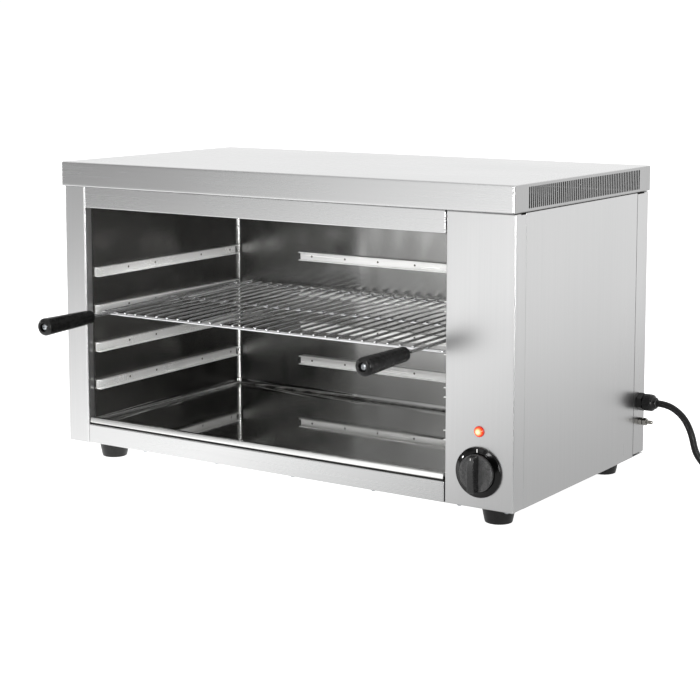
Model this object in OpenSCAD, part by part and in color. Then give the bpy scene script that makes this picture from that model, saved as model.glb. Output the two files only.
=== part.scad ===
// Counter-top cheese melter: a sheet-steel cabinet with an open front, four pairs of rack rails, a wire rack
// with two grips, a crumb tray, tubular elements under the ceiling, and a control compartment on the right.
// Millimetres. +X is to the user's right, +Y away from the user, +Z up.
// Inner places are given from the lid's front left corner and the underside of the body; placed() brings them
// to the part's own origin, on the floor under the middle of the machine.

/* [Cabinet] */
// Width of the lid, side to side
lid_w = 800; // [660:5:960]
// Depth of the lid, front to back
lid_d = 432; // [360:4:520]
// Height of the lid's skirt
lid_h = 38; // [34:1:46]
// Height of the body under the lid
body_h = 405; // [337:1:490]
// How far the lid stands out over the front of the body
front_inset = 8; // [5:0.5:12]
// How far the lid stands out over each side
side_inset = 1.5; // [1.5:0.1:3]
// How far the lid stands out over the back
rear_inset = 3.5; // [3:0.5:6]
// Thickness of the steel sheet
sheet = 1.2; // [0.9:0.1:1.5]
// Radius of the lid's upright corners
corner_r = 3; // [2:0.5:4]
// Width of the flanges that the panels are screwed together by
flange_w = 15; // [14:1:18]
// Depth of the rear panel's wrap round each side
rear_wrap = 38.5; // [36:0.5:44]
// Clearance between sheets that slip into each other
slip = 0.3; // [0.2:0.05:0.5]

/* [Vent slots] */
// Distance from the lid's front or back to the first slot
vent_margin = 40; // [30:1:60]
// Distance between slots
vent_pitch = 5.8; // [5:0.1:8]
// Width of a slot
vent_w = 3.6; // [2.5:0.1:4]
// Edge of the skirt left above and below a slot
vent_edge = 4.5; // [4:0.5:6]

/* [Front] */
// Width of the left post
post_w = 39; // [36:1:60]
// Height of the lintel over the opening
lintel_h = 33; // [28:1:45]
// Height of the sill under the opening
sill_h = 29.3; // [26:0.1:36]
// Width of the control panel
panel_w = 106.5; // [100:0.5:130]
// Depth of the control panel's wrap round the right side
panel_wrap = 28.5; // [24:0.5:40]
// Depth of the folds along the edges of the opening
return_d = 14; // [12:1:18]

/* [Cavity] */
// Step from the edge of the opening to the cavity wall
wall_step = 2.9; // [2:0.1:5]
// Air gap between the cavity and the rear panel
rear_gap = 31.3; // [24:0.1:50]
// Distance from the body's top to the underside of the ceiling
ceiling_drop = 7; // [5:1:12]

/* [Rails] */
// Height of the lowest rail's centre above the body's underside
rail_first = 90.4; // [80:0.1:95]
// Distance from one rail to the next
rail_pitch = 59.7; // [45:0.1:62]
// Height of a rail
rail_h = 14.5; // [13:0.5:18]
// Depth of a side rail
rail_depth = 9.6; // [8:0.1:12]
// Distance from the cavity's front edge to the rails
rail_setback = 3; // [2:1:10]
// Distance from the rails to the back wall
rail_rear_gap = 10; // [9:1:20]
// Length of the rails on the back wall
back_rail_l = 378; // [300:2:440]
// Depth of the rails on the back wall
back_rail_depth = 7.5; // [6:0.1:8]
// How much lower the back rails sit
back_rail_drop = 3.8; // [3:0.1:6]

/* [Rack] */
// Which rail the rack is in, counted from the lowest as 0
rack_level = 2; // [0:1:3]
// Diameter of the frame rod
rod_d = 5; // [4.5:0.1:6]
// Diameter of the grid wires
wire_d = 4; // [3:0.1:4.5]
// Distance between the grid wires
wire_pitch = 21; // [15:0.5:30]
// Least distance from the frame's side to the outermost wire
wire_margin = 33; // [28:1:45]
// Bend radius of the frame's corners, at the rod's centre
frame_corner_r = 12; // [9:1:20]
// Distance from the lid's front to the rack's front rod
rack_setback = 29; // [27:1:40]
// Distance from the rack's rear rod to the back wall
rack_rear_gap = 20; // [18:1:40]
// How far the grid wires run past the rear rod
wire_tail = 6; // [3:1:8]
// How deep a weld lets one rod into another
weld = 0.5; // [0.3:0.1:0.8]
// How far the grips reach out in front of the lid
grip_reach = 134; // [110:1:170]
// Length of a grip
grip_l = 104; // [85:1:120]
// Diameter of a grip at its tip
grip_tip_d = 26.5; // [24:0.5:30]
// Diameter of a grip at its root
grip_root_d = 21; // [18:0.5:24]
// How far the handle rod goes into its grip
grip_socket = 60; // [40:1:70]

/* [Crumb tray] */
// Height of the tray's rim above the body's underside
tray_top = 40; // [38:0.5:50]
// Depth of the rolled lip at the tray's front
tray_lip_d = 7; // [5:0.5:10]
// Clearance between the tray and each cavity wall
tray_side_gap = 0.6; // [0.5:0.1:2]

/* [Elements] */
// Diameter of the heating elements
element_d = 8; // [6.5:0.1:8.5]
// Distance from the ceiling to the elements' centres
element_drop = 13; // [11:1:16]
// Distance from the left cavity wall to the elements' bends
element_margin = 34; // [20:1:80]
// Length of the elements' cold ends past the right cavity wall
element_tail = 22; // [18:1:26]

/* [Controls] */
// Distance from the panel's left edge to the knob's axis
knob_in = 53.8; // [50:0.1:60]
// Height of the knob's axis above the body's underside
knob_z = 50.6; // [48:0.1:60]
// Diameter of the bezel round the knob
bezel_d = 70; // [64:1:76]
// Diameter of the knob's disc
knob_d = 52; // [46:1:54]
// Width of the knob's grip bar
knob_bar_w = 11; // [9:0.5:14]
// How far the knob's grip bar stands out of the panel
knob_out = 26; // [22:1:30]
// Diameter of the control shaft
shaft_d = 6; // [6:0.5:6.35]
// Height of the pilot lamp above the body's underside
lamp_z = 106.7; // [98:0.1:140]
// Diameter of the lamp's rim
lamp_rim_d = 15; // [12:0.5:18]

/* [Feet] */
// Height of the rubber feet
foot_h = 22; // [18:1:30]
// Diameter of a foot where it meets the body
foot_top_d = 47.5; // [40:0.5:50]
// Diameter of a foot on the floor
foot_bottom_d = 38.5; // [32:0.5:40]
// Distance from the lid's left side to the left feet
foot_left_in = 69; // [50:1:80]
// Distance from the lid's right side to the right feet
foot_right_in = 39; // [34:1:60]
// Distance from the lid's front to the front feet
foot_front_in = 37; // [34:1:60]
// Distance from the lid's back to the rear feet
foot_rear_in = 67; // [37:1:90]

/* [Cable and earth] */
// Height of the cable gland above the body's underside
gland_z = 84; // [80:1:120]
// Distance from the lid's back to the gland's axis
gland_rear_in = 23; // [20:0.5:26]
// Diameter of the gland's nut
gland_d = 28.5; // [26:0.5:30]
// How far the gland stands out of the side
gland_out = 29.5; // [26:0.5:36]
// Diameter of the mains cord
cord_d = 10.3; // [8:0.1:11]
// Height of the earth stud above the body's underside
stud_z = 53; // [45:1:60]
// How far the earth stud stands out past the lid
stud_out = 20; // [18:0.5:24]
// Diameter of the earth stud
stud_d = 6; // [5:1:6]

/* [Hidden] */
$fn = 48;
eps = 0.01;

// Body, from the lid's front left corner and the body's underside
body_l = side_inset;
body_r = lid_w - side_inset;
body_f = front_inset;
body_b = lid_d - rear_inset;
top_z = body_h + lid_h;
seam_y = body_b - rear_wrap;
panel_seam_y = body_f + panel_wrap;
panel_l = body_r - panel_w;
opening_l = body_l + post_w;
opening_t = body_h - lintel_h;
rear_lift = 2.5;          // the rear panel ends this much above the body's underside
joint_gap = 0.8;          // between the post and the lintel or sill
panel_gap = 1.5;          // between the lintel or sill and the control panel

// Cavity, to the faces that the food sees
cavity_l = opening_l + wall_step;
cavity_r = panel_l - wall_step;
cavity_f = body_f + return_d;
cavity_b = body_b - sheet - rear_gap;
cavity_w = cavity_r - cavity_l;
ceiling_z = body_h - ceiling_drop;
floor_z = sill_h + sheet;
wall_flange = 12;

// Rails
rail_f = cavity_f + rail_setback;
rail_b = cavity_b - rail_rear_gap;
rail_inner_h = rail_h - 2 * sheet;
rail_n = 4;
rail_z = [for (i = [0 : rail_n - 1]) rail_first + i * rail_pitch];
back_rail_x = cavity_l + (cavity_w - back_rail_l) / 2;

// Rack: its front droops until the side rods touch the rails, low in front and high behind
run_gap = 0.3;
side_rod_in = (rail_depth + sheet) / 2;
rack_l = cavity_l + side_rod_in;
rack_r = cavity_r - side_rod_in;
rack_w = rack_r - rack_l;
rack_d = cavity_b - rack_rear_gap - rack_setback;
rack_play = rail_inner_h - rod_d - 2 * run_gap;
rack_tilt = asin(rack_play / rack_d);
rack_z = rail_z[rack_level] - rail_inner_h / 2 + run_gap + rod_d / 2;
wire_n = floor((rack_w - 2 * wire_margin) / wire_pitch) + 1;
wire_x0 = (rack_w - (wire_n - 1) * wire_pitch) / 2;
cross_rod_r = rod_d / 2 - 0.1;   // a little slimmer than the frame, so that its ends are welded inside it
wire_z = rod_d / 2 + wire_d / 2 - weld;
handle_z = rod_d - weld;
handle_x = [wire_x0, rack_w - wire_x0];
grip_tip = (grip_reach + rack_setback) / cos(rack_tilt) - handle_z * sin(rack_tilt);
grip_root = grip_tip - grip_l;
grip_screw_r = 2;
grip_recess_r = 6.5;
grip_recess_d = 5;

// Elements
element_n = 3;
element_pitch = (cavity_b - cavity_f) / (2 * element_n);
element_z = ceiling_z - element_drop;
leg_y = [for (i = [0 : 2 * element_n - 1]) cavity_f + (i + 0.5) * element_pitch];
element_end = cavity_r + element_tail;
element_x0 = cavity_l + element_margin + element_pitch / 2;
hanger_x = [for (f = [0.3, 0.75]) cavity_l + f * cavity_w];
bush_l = 8;
pin_l = 6;

// Controls
knob_x = panel_l + knob_in;
panel_in = body_f + sheet;
regulator_w = 36;
regulator_h = 40;
regulator_d = 46;
regulator_b = panel_in + regulator_d;
regulator_screw_pitch = 28;
tab_l = 8;
tab_at = [[-11, 8], [-11, -8], [11, -8], [11, 8]];
shaft_in = 24;
shaft_gap = 0.05;
lamp_body_d = 10;
lamp_body_l = 26;
block_w = 48;
block_d = 24;
block_h = 22;
block_x = knob_x - 20;
block_y = body_b - 98;

// Screws
screw_d = 3.5;
screw_head_d = 6.6;
screw_head_h = 1.9;
screw_l = 9;
hole_gap = 0.15;
base_pitch = 140;
base_screw_y = body_f + 4.6;
base_corner_in = 11.9;
base_row_x0 = lid_w - 647;
base_row = [for (x = [base_row_x0 : base_pitch : lid_w - 60]) x];
base_screw_at = concat(
  [[body_l + base_corner_in, base_screw_y], [body_r - base_corner_in, base_screw_y]],
  [for (x = base_row) [x, base_screw_y]],
  [for (y = [body_f + 60, seam_y - 40], x = [body_l + flange_w / 2 + 1, body_r - flange_w / 2 - 1]) [x, y]]
);
rear_screw_x = [for (f = [0.03, 0.35, 0.65, 0.97]) f * lid_w];
rear_screw_z = [14, body_h - 18];
foot_at = [
  [foot_left_in, foot_front_in], [lid_w - foot_right_in, foot_front_in],
  [foot_left_in, lid_d - foot_rear_in], [lid_w - foot_right_in, lid_d - foot_rear_in]
];
foot_screw_d = 5;
foot_sink_d = 13;
foot_sink_h = 12;

// Gland and earth stud
gland_y = lid_d - gland_rear_in;
gland_thread_d = 19.5;
gland_hex_l = 9;
gland_nut_l = 24;
stud_len = side_inset + stud_out;
stud_y = gland_y + 2;
stud_inner = 12;
nut_h = 4.5;
nut_r = 5.8;
washer_r = 7;
washer_h = 1.2;
washer_gap = 1;
stud_neck_x = body_r + 2 * nut_h + 2 * washer_h + washer_gap;
stud_neck_l = 0.6;
stud_neck_r = stud_d / 2 - 0.4;

// Cord: the route's points are in the part's own frame, as is the coil's place; it hangs clear of the earth
// stud's axis, so that a lug goes straight onto the stud
cord_r = cord_d / 2;
lead_points = [
  [418, 260, 106], [425, 260, 106], [439, 259, 104], [453, 256.5, 98], [465, 253.5, 89], [474, 251, 77],
  [480, 250, 63], [484, 250.5, 46], [489, 252, 35], [498, 254.5, 23], [510, 257, 13], [525, 259, 7],
  [540, 260, 5.2], [560, 260, 5.2]
];
// Two layers of two turns each, and half a turn outside them that the cord comes in and goes out by
inner_turn_r = 48.5;
last_turn_r = inner_turn_r + 2 * cord_d;
coil_r_in = inner_turn_r - cord_r;
coil_r_out = last_turn_r - cord_r;
coil_r_last = last_turn_r + cord_r;
coil_h = 2 * cord_d;
coil_c = [560, 260 + last_turn_r];
tail_points = [
  for (p = [[0, 5.2], [-4, 5.2], [-13, 6.1], [-23, 8.1], [-33, 10.1], [-42, 11], [-46, 11]])
    [coil_c[0] + p[0], coil_c[1] + last_turn_r, p[1]]
];
tie_t = 1;
tie_w = 14;
tube_sides = 10;
plug_at = tail_points[len(tail_points) - 1];
plug_neck_l = 22;
plug_l = 32;
plug_w = 36;
plug_h = 22;
pin_out = 17;

// From the lid's front left corner and the body's underside to the part's own origin
shift = [-(lid_w + stud_out) / 2, (grip_reach - lid_d) / 2, foot_h];

module placed() { translate(shift) children(); }

// A box between two corners
module slab(x, y, z) { translate([x[0], y[0], z[0]]) cube([x[1] - x[0], y[1] - y[0], z[1] - z[0]]); }

// A cylinder along +X, +Y or -Y, or +Z, from a point
module rod_x(p, r, l) { translate(p) rotate([0, 90, 0]) cylinder(r = r, h = l); }
module rod_y(p, r, l) { translate(p) rotate([-90, 0, 0]) cylinder(r = r, h = l); }
module rod_z(p, r, l) { translate(p) cylinder(r = r, h = l); }

// A wire that turns sharply at each point
module wire(points, r) {
  for (i = [0 : len(points) - 2]) {
    step = points[i + 1] - points[i];
    run = norm(step);
    translate(points[i])
      rotate([0, acos(step[2] / run), atan2(step[1], step[0])]) cylinder(r = r, h = run, $fn = 24);
    if (i > 0) translate(points[i]) sphere(r = r, $fn = 24);
  }
}

// A pan-head screw that points along +Z, with its head below
module pan_screw(l = screw_l, d = screw_d, head_d = screw_head_d, head_h = screw_head_h) {
  difference() {
    union() {
      cylinder(d = d, h = l);
      translate([0, 0, -head_h / 2]) cylinder(d = head_d, h = head_h / 2);
      translate([0, 0, -head_h]) cylinder(d1 = head_d * 0.7, d2 = head_d, h = head_h / 2);
    }
    for (a = [0, 90]) rotate([0, 0, a])
      translate([-head_d * 0.3, -0.4, -head_h - eps]) cube([head_d * 0.6, 0.8, head_h * 0.6]);
  }
}

// A hexagonal nut along +X with a bore
module nut_x(p, r, bore, h) {
  translate(p) rotate([0, 90, 0]) difference() {
    cylinder(r = r, h = h, $fn = 6);
    translate([0, 0, -1]) cylinder(r = bore, h = h + 2, $fn = 48);
  }
}

module screw_holes(points, z, h) {
  for (p = points) translate([p[0], p[1], z - 1]) cylinder(d = screw_d + 2 * hole_gap, h = h + 2);
}

module rounded_rect(w, d, r) {
  translate([r, 0]) square([w - 2 * r, d]);
  translate([0, r]) square([w, d - 2 * r]);
  for (x = [r, w - r], y = [r, d - r]) translate([x, y]) circle(r);
}

// ---- Cabinet ----

module base_pan() placed() color("silver") difference() {
  slab([body_l + sheet + slip, body_r - sheet - slip], [panel_in + slip, body_b - sheet - slip], [0, sheet]);
  screw_holes(base_screw_at, 0, sheet);
  for (p = foot_at) translate([p[0], p[1], -1]) cylinder(d = foot_screw_d + 2 * hole_gap, h = sheet + 2);
}

// The flange that the base is screwed to lies on the base pan
module side_flanges(x_out, inward, y0, y1) {
  x = inward > 0 ? [x_out, x_out + flange_w] : [x_out - flange_w, x_out];
  slab(x, [y0, y1], [sheet, 2 * sheet]);
  slab(x, [y0, y1], [body_h - sheet, body_h]);
}

module left_side_panel() placed() color("gainsboro") difference() {
  union() {
    slab([body_l, body_l + sheet], [body_f, seam_y - slip], [0, body_h]);
    slab([body_l, opening_l], [body_f, panel_in], [0, body_h]);
    slab([opening_l - sheet, opening_l], [body_f, cavity_f], [sheet, body_h]);
    side_flanges(body_l, 1, body_f, seam_y - slip);
  }
  screw_holes(base_screw_at, sheet, sheet);
}

module right_side_panel() placed() color("gainsboro") difference() {
  union() {
    slab([body_r - sheet, body_r], [panel_seam_y + slip, seam_y - slip], [0, body_h]);
    slab([body_r - flange_w, body_r], [panel_seam_y + slip, panel_seam_y + slip + sheet], [sheet, body_h]);
    side_flanges(body_r, -1, panel_seam_y + slip, seam_y - slip);
  }
  screw_holes(base_screw_at, sheet, sheet);
}

module rear_panel() placed() color("lightgray") difference() {
  union() {
    slab([body_l, body_r], [body_b - sheet, body_b], [rear_lift, body_h]);
    for (x = [body_l, body_r - sheet]) slab([x, x + sheet], [seam_y, body_b], [rear_lift, body_h]);
    slab([body_l, body_r], [body_b - flange_w, body_b], [rear_lift, rear_lift + sheet]);
    slab([body_l, body_r], [body_b - flange_w, body_b], [body_h - sheet, body_h]);
  }
  rod_x([body_r - 4, gland_y, gland_z], gland_thread_d / 2 + hole_gap, 8);
  rod_x([body_r - 4, stud_y, stud_z], stud_d / 2 + hole_gap, 8);
  for (x = rear_screw_x, z = rear_screw_z)
    rod_y([x, body_b - 4, z], screw_d / 2 + hole_gap, 8);
}

module lid() placed() color("whitesmoke") {
  slot_n = floor((lid_d - 2 * vent_margin) / vent_pitch) + 1;
  slot_y0 = (lid_d - (slot_n - 1) * vent_pitch - vent_w) / 2;
  difference() {
    translate([0, 0, body_h]) linear_extrude(lid_h) rounded_rect(lid_w, lid_d, corner_r);
    slab([sheet, lid_w - sheet], [sheet, lid_d - sheet], [body_h + sheet, top_z - sheet]);
    slab([flange_w, lid_w - flange_w], [flange_w, lid_d - flange_w], [body_h - 1, body_h + 2 * sheet]);
    for (i = [0 : slot_n - 1], x = [-1, lid_w - sheet - 1])
      slab([x, x + sheet + 2], [slot_y0 + i * vent_pitch, slot_y0 + i * vent_pitch + vent_w],
        [body_h + vent_edge, top_z - vent_edge]);
  }
}

// A front rail between the post and the control panel, folded back at its top, bottom and right end
module front_rail(z0, z1, top_d, bottom_d, lift) {
  x = [opening_l + joint_gap, panel_l - panel_gap];
  slab(x, [body_f, panel_in], [z0, z1]);
  slab([x[1] - sheet, x[1]], [body_f, body_f + return_d / 2], [z0 + lift, z1]);
  slab(x, [body_f, body_f + top_d], [z1 - sheet, z1]);
  slab(x, [body_f, body_f + bottom_d], [z0 + lift, z0 + lift + sheet]);
}

module front_lintel() placed() color("darkgray") front_rail(opening_t, body_h, flange_w, return_d, 0);

module front_sill() placed() color("gainsboro") difference() {
  front_rail(0, sill_h, return_d + 6, flange_w, sheet);
  screw_holes(base_screw_at, sheet, sheet);
}

module control_panel() placed() color("gainsboro") difference() {
  union() {
    slab([panel_l, body_r], [body_f, panel_in], [0, body_h]);
    slab([panel_l, panel_l + sheet], [body_f, cavity_f], [sheet, body_h]);
    slab([body_r - sheet, body_r], [body_f, panel_seam_y], [0, body_h]);
    slab([panel_l, body_r], [body_f, cavity_f], [sheet, 2 * sheet]);
    slab([panel_l, body_r], [body_f, cavity_f], [body_h - sheet, body_h]);
  }
  screw_holes(base_screw_at, sheet, sheet);
  rod_y([knob_x, body_f - 4, knob_z], shaft_d / 2 + 2, 12);
  for (s = [-1, 1])
    rod_y([knob_x + s * regulator_screw_pitch / 2, body_f - 4, knob_z], screw_d / 2 + hole_gap, 12);
  rod_y([knob_x, body_f - 4, lamp_z], lamp_body_d / 2 + hole_gap, 12);
}

// ---- Cavity ----

module cavity_left_wall() placed() color("dimgray") {
  slab([cavity_l - sheet, cavity_l], [cavity_f, cavity_b], [sill_h, ceiling_z + sheet]);
  slab([cavity_l - wall_flange, cavity_l], [cavity_f, cavity_f + sheet], [sill_h, ceiling_z + sheet]);
}

module cavity_right_wall() placed() color("gray") difference() {
  union() {
    slab([cavity_r, cavity_r + sheet], [cavity_f, cavity_b], [sill_h, ceiling_z + sheet]);
    slab([cavity_r, cavity_r + wall_flange], [cavity_f, cavity_f + sheet], [sill_h, ceiling_z + sheet]);
  }
  for (y = leg_y) rod_x([cavity_r - 3, y, element_z], element_d / 2 + hole_gap, sheet + 6);
}

module cavity_back_wall() placed() color("gray")
  slab([cavity_l - sheet, cavity_r + sheet], [cavity_b, cavity_b + sheet], [sill_h, ceiling_z + sheet]);

module cavity_ceiling() placed() color("darkgray")
  slab([cavity_l, cavity_r], [cavity_f, cavity_b], [ceiling_z, ceiling_z + sheet]);

module cavity_floor() placed() color("gray")
  slab([cavity_l, cavity_r], [body_f + return_d / 2, cavity_b], [sill_h, floor_z]);

// A channel along +Y, open towards +X, with its web at x = 0
module channel(l, d, h) {
  slab([0, sheet], [0, l], [-h / 2, h / 2]);
  for (z = [-h / 2, h / 2 - sheet]) slab([0, d], [0, l], [z, z + sheet]);
}

module side_rail(i, right) placed() color("silver")
  translate([right ? cavity_r : cavity_l, rail_f, rail_z[i - 1]])
    mirror([right ? 1 : 0, 0, 0]) channel(rail_b - rail_f, rail_depth, rail_h);

module back_rail(i) placed() color("gainsboro")
  translate([back_rail_x, cavity_b, rail_z[i - 1] - back_rail_drop])
    rotate([0, 0, -90]) channel(back_rail_l, back_rail_depth, rail_h);

module left_rail_1() side_rail(1, false);
module left_rail_2() side_rail(2, false);
module left_rail_3() side_rail(3, false);
module left_rail_4() side_rail(4, false);
module right_rail_1() side_rail(1, true);
module right_rail_2() side_rail(2, true);
module right_rail_3() side_rail(3, true);
module right_rail_4() side_rail(4, true);
module back_rail_1() back_rail(1);
module back_rail_2() back_rail(2);
module back_rail_3() back_rail(3);
module back_rail_4() back_rail(4);

// ---- Crumb tray ----

module crumb_tray() placed() color("silver") {
  x = [cavity_l + tray_side_gap, cavity_r - tray_side_gap];
  bottom = floor_z + run_gap;
  lip_f = body_f + 0.6;
  rim_f = lip_f + tray_lip_d;
  rim_b = cavity_b - 1;
  slab(x, [rim_f, rim_b], [bottom, bottom + sheet]);
  slab([x[0], x[0] + sheet], [rim_f, rim_b], [bottom, tray_top]);
  slab([x[1] - sheet, x[1]], [rim_f, rim_b], [bottom, tray_top]);
  slab(x, [rim_b - sheet, rim_b], [bottom, tray_top]);
  slab(x, [rim_f, rim_f + sheet], [bottom, tray_top]);
  slab(x, [lip_f, rim_f + sheet], [tray_top - sheet, tray_top]);
  slab(x, [lip_f, lip_f + sheet], [bottom + 1, tray_top]);
}

// ---- Rack, in its own frame: the front rod's centre line is y = 0, z = 0, the left side rod's x = 0 ----

module on_rack() placed() translate([rack_l, rack_setback, rack_z]) rotate([rack_tilt, 0, 0]) children();

module frame_corner(x, y, a) {
  translate([x, y, 0]) rotate([0, 0, a])
    rotate_extrude(angle = 90) translate([frame_corner_r, 0]) circle(d = rod_d, $fn = 32);
}

module rack_frame() {
  r = frame_corner_r;
  for (x = [0, rack_w]) rod_y([x, r, 0], rod_d / 2, rack_d - 2 * r);
  for (y = [0, rack_d]) rod_x([r, y, 0], rod_d / 2, rack_w - 2 * r);
  rod_x([0, rack_d / 2, 0], cross_rod_r, rack_w);
  frame_corner(r, r, 180);
  frame_corner(rack_w - r, r, 270);
  frame_corner(rack_w - r, rack_d - r, 0);
  frame_corner(r, rack_d - r, 90);
}

module rack_grid() on_rack() color("silver") {
  rack_frame();
  for (i = [1 : wire_n - 2])
    rod_y([wire_x0 + i * wire_pitch, -wire_d / 2, wire_z], wire_d / 2, rack_d + wire_tail + wire_d / 2);
  for (x = handle_x)
    rod_y([x, -grip_root - grip_socket, handle_z], rod_d / 2, rack_d + wire_tail + grip_root + grip_socket);
}

module grip(x) on_rack() color([0.08, 0.08, 0.08]) translate([x, -grip_root, handle_z]) rotate([90, 0, 0])
  difference() {
    rotate_extrude() polygon(concat(
      [[0, 0], [grip_root_d / 2 - 2, 0], [grip_root_d / 2 - 0.6, 0.6], [grip_root_d / 2, 2]],
      [for (a = [0 : 15 : 75])
        [grip_tip_d / 2 - 6 + 6 * cos(a), grip_l - 6 + 6 * sin(a)]],
      [[grip_tip_d / 2 - 6, grip_l], [0, grip_l]]
    ));
    translate([0, 0, -1]) cylinder(r = rod_d / 2 + shaft_gap, h = grip_socket + 1 + slip);
    translate([0, 0, grip_l - grip_recess_d]) cylinder(r = grip_recess_r, h = grip_recess_d + 1);
    translate([0, 0, grip_socket]) cylinder(r = grip_screw_r + shaft_gap, h = grip_l);
  }

module left_grip() grip(handle_x[0]);
module right_grip() grip(handle_x[1]);

module grip_screws() on_rack() color("silver") for (x = handle_x)
  translate([x, -grip_tip + grip_recess_d, handle_z]) rotate([-90, 0, 0])
    pan_screw(grip_l - grip_socket - grip_recess_d - 2, 2 * grip_screw_r, 11, 3.2);

// ---- Elements ----

module heating_element(i) placed() color([0.25, 0.24, 0.23])
  translate([element_x0, (leg_y[2 * i - 2] + leg_y[2 * i - 1]) / 2, element_z]) union() {
    for (s = [-1, 1]) rod_x([0, s * element_pitch / 2, 0], element_d / 2, element_end - element_x0);
    rotate([0, 0, 90]) rotate_extrude(angle = 180) translate([element_pitch / 2, 0]) circle(d = element_d);
  }
module heating_element_1() heating_element(1);
module heating_element_2() heating_element(2);
module heating_element_3() heating_element(3);

module element_hangers() placed() color("silver") for (x = hanger_x) difference() {
  slab([x, x + sheet], [cavity_f + 14, cavity_b - 14], [element_z - element_d / 2 - 4, ceiling_z]);
  for (y = leg_y) rod_x([x - 2, y, element_z], element_d / 2 + hole_gap, sheet + 4);
}

// A ceramic bush round each cold end with its terminal pin
module element_bushes() placed() color("ivory") for (y = leg_y) {
  difference() {
    rod_x([element_end - bush_l / 2, y, element_z], element_d / 2 + 2, bush_l);
    rod_x([element_end - bush_l / 2 - 1, y, element_z], element_d / 2 + shaft_gap,
      bush_l / 2 + 1 + shaft_gap);
  }
  rod_x([element_end + bush_l / 2, y, element_z], 1.5, pin_l);
}

// ---- Controls ----

module energy_regulator() placed() color([0.2, 0.2, 0.22]) difference() {
  union() {
    slab([knob_x - regulator_w / 2, knob_x + regulator_w / 2], [panel_in, regulator_b],
      [knob_z - regulator_h / 2, knob_z + regulator_h / 2]);
    for (t = tab_at) slab([knob_x + t[0] - 3.1, knob_x + t[0] + 3.1], [regulator_b - 1, regulator_b + tab_l],
      [knob_z + t[1] - 0.4, knob_z + t[1] + 0.4]);
  }
  rod_y([knob_x, panel_in - 1, knob_z], shaft_d / 2 + shaft_gap, shaft_in + 1 + slip);
  for (s = [-1, 1])
    rod_y([knob_x + s * regulator_screw_pitch / 2, panel_in - 1, knob_z], screw_d / 2 + hole_gap, 9);
}

module regulator_screws() placed() color("silver") for (s = [-1, 1])
  translate([knob_x + s * regulator_screw_pitch / 2, body_f, knob_z]) rotate([-90, 0, 0])
    pan_screw(sheet + 6, screw_d, 6, 1.2);

module regulator_shaft() placed() color("silver")
  rod_y([knob_x, body_f - knob_out + 7, knob_z], shaft_d / 2, knob_out - 7 + sheet + shaft_in);

module knob_bezel() placed() color([0.05, 0.05, 0.05])
  translate([knob_x, body_f, knob_z]) rotate([90, 0, 0]) rotate_extrude($fn = 96) polygon([
    [knob_d / 2 - 4, 1.6], [knob_d / 2 - 4, 3], [knob_d / 2 + 1, 3], [knob_d / 2 + 1, 6],
    [knob_d / 2 + 2, 6.5], [bezel_d / 2 - 2, 5.4], [bezel_d / 2 - 0.4, 4.2], [bezel_d / 2, 2.6],
    [bezel_d / 2, 0], [bezel_d / 2 - 3, 0], [bezel_d / 2 - 3, 1.6]
  ]);

// The knob is drawn with its axis along +Z, its front up and its pointer along +Y
module control_knob() placed() color([0.12, 0.12, 0.12])
  translate([knob_x, body_f, knob_z]) rotate([90, 0, 0]) difference() {
    union() {
      rotate_extrude($fn = 96) polygon([
        [0, 4], [knob_d / 2 - 2, 4], [knob_d / 2, 5], [knob_d / 2, 9], [knob_d / 2 - 1.5, 11], [0, 11.6]
      ]);
      intersection() {
        translate([-knob_bar_w / 2, -knob_d / 2, 8]) cube([knob_bar_w, knob_d, knob_out - 8]);
        cylinder(d = knob_d - 1, h = knob_out, $fn = 96);
      }
    }
    translate([0, 0, -1]) cylinder(r = shaft_d / 2 + shaft_gap, h = knob_out - 7 + 1 + slip);
    translate([-0.6, knob_d / 2 - 12, knob_out - 0.5]) cube([1.2, 14, 1]);
  }

module pilot_lamp_lens() placed() color([0.95, 0.35, 0.08])
  translate([knob_x, body_f, lamp_z]) rotate([90, 0, 0]) rotate_extrude() polygon([
    [0, 1.4], [lamp_rim_d / 2 - 1.7, 1.4], [lamp_rim_d / 2 - 1.7, 3.4], [lamp_rim_d / 2 - 3, 4.8],
    [lamp_rim_d / 2 - 5, 5.6], [0, 5.9]
  ]);

module pilot_lamp_body() placed() color([0.7, 0.15, 0.05])
  translate([knob_x, body_f, lamp_z]) rotate([-90, 0, 0]) union() {
    difference() {
      translate([0, 0, -1.9]) cylinder(d = lamp_rim_d, h = 1.9);
      translate([0, 0, -3]) cylinder(r = lamp_rim_d / 2 - 1.6, h = 1.6);
    }
    cylinder(d = lamp_body_d, h = lamp_body_l);
    for (s = [-1, 1]) translate([s * 2.5 - 0.4, -1.4, lamp_body_l - 1]) cube([0.8, 2.8, 7]);
  }

module terminal_block() placed() color("ivory") difference() {
  slab([block_x, block_x + block_w], [block_y, block_y + block_d], [sheet, sheet + block_h]);
  for (i = [0 : 3]) rod_z([block_x + 6 + 12 * i, block_y + 5, block_h - 6], 2, 9);
}

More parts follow.
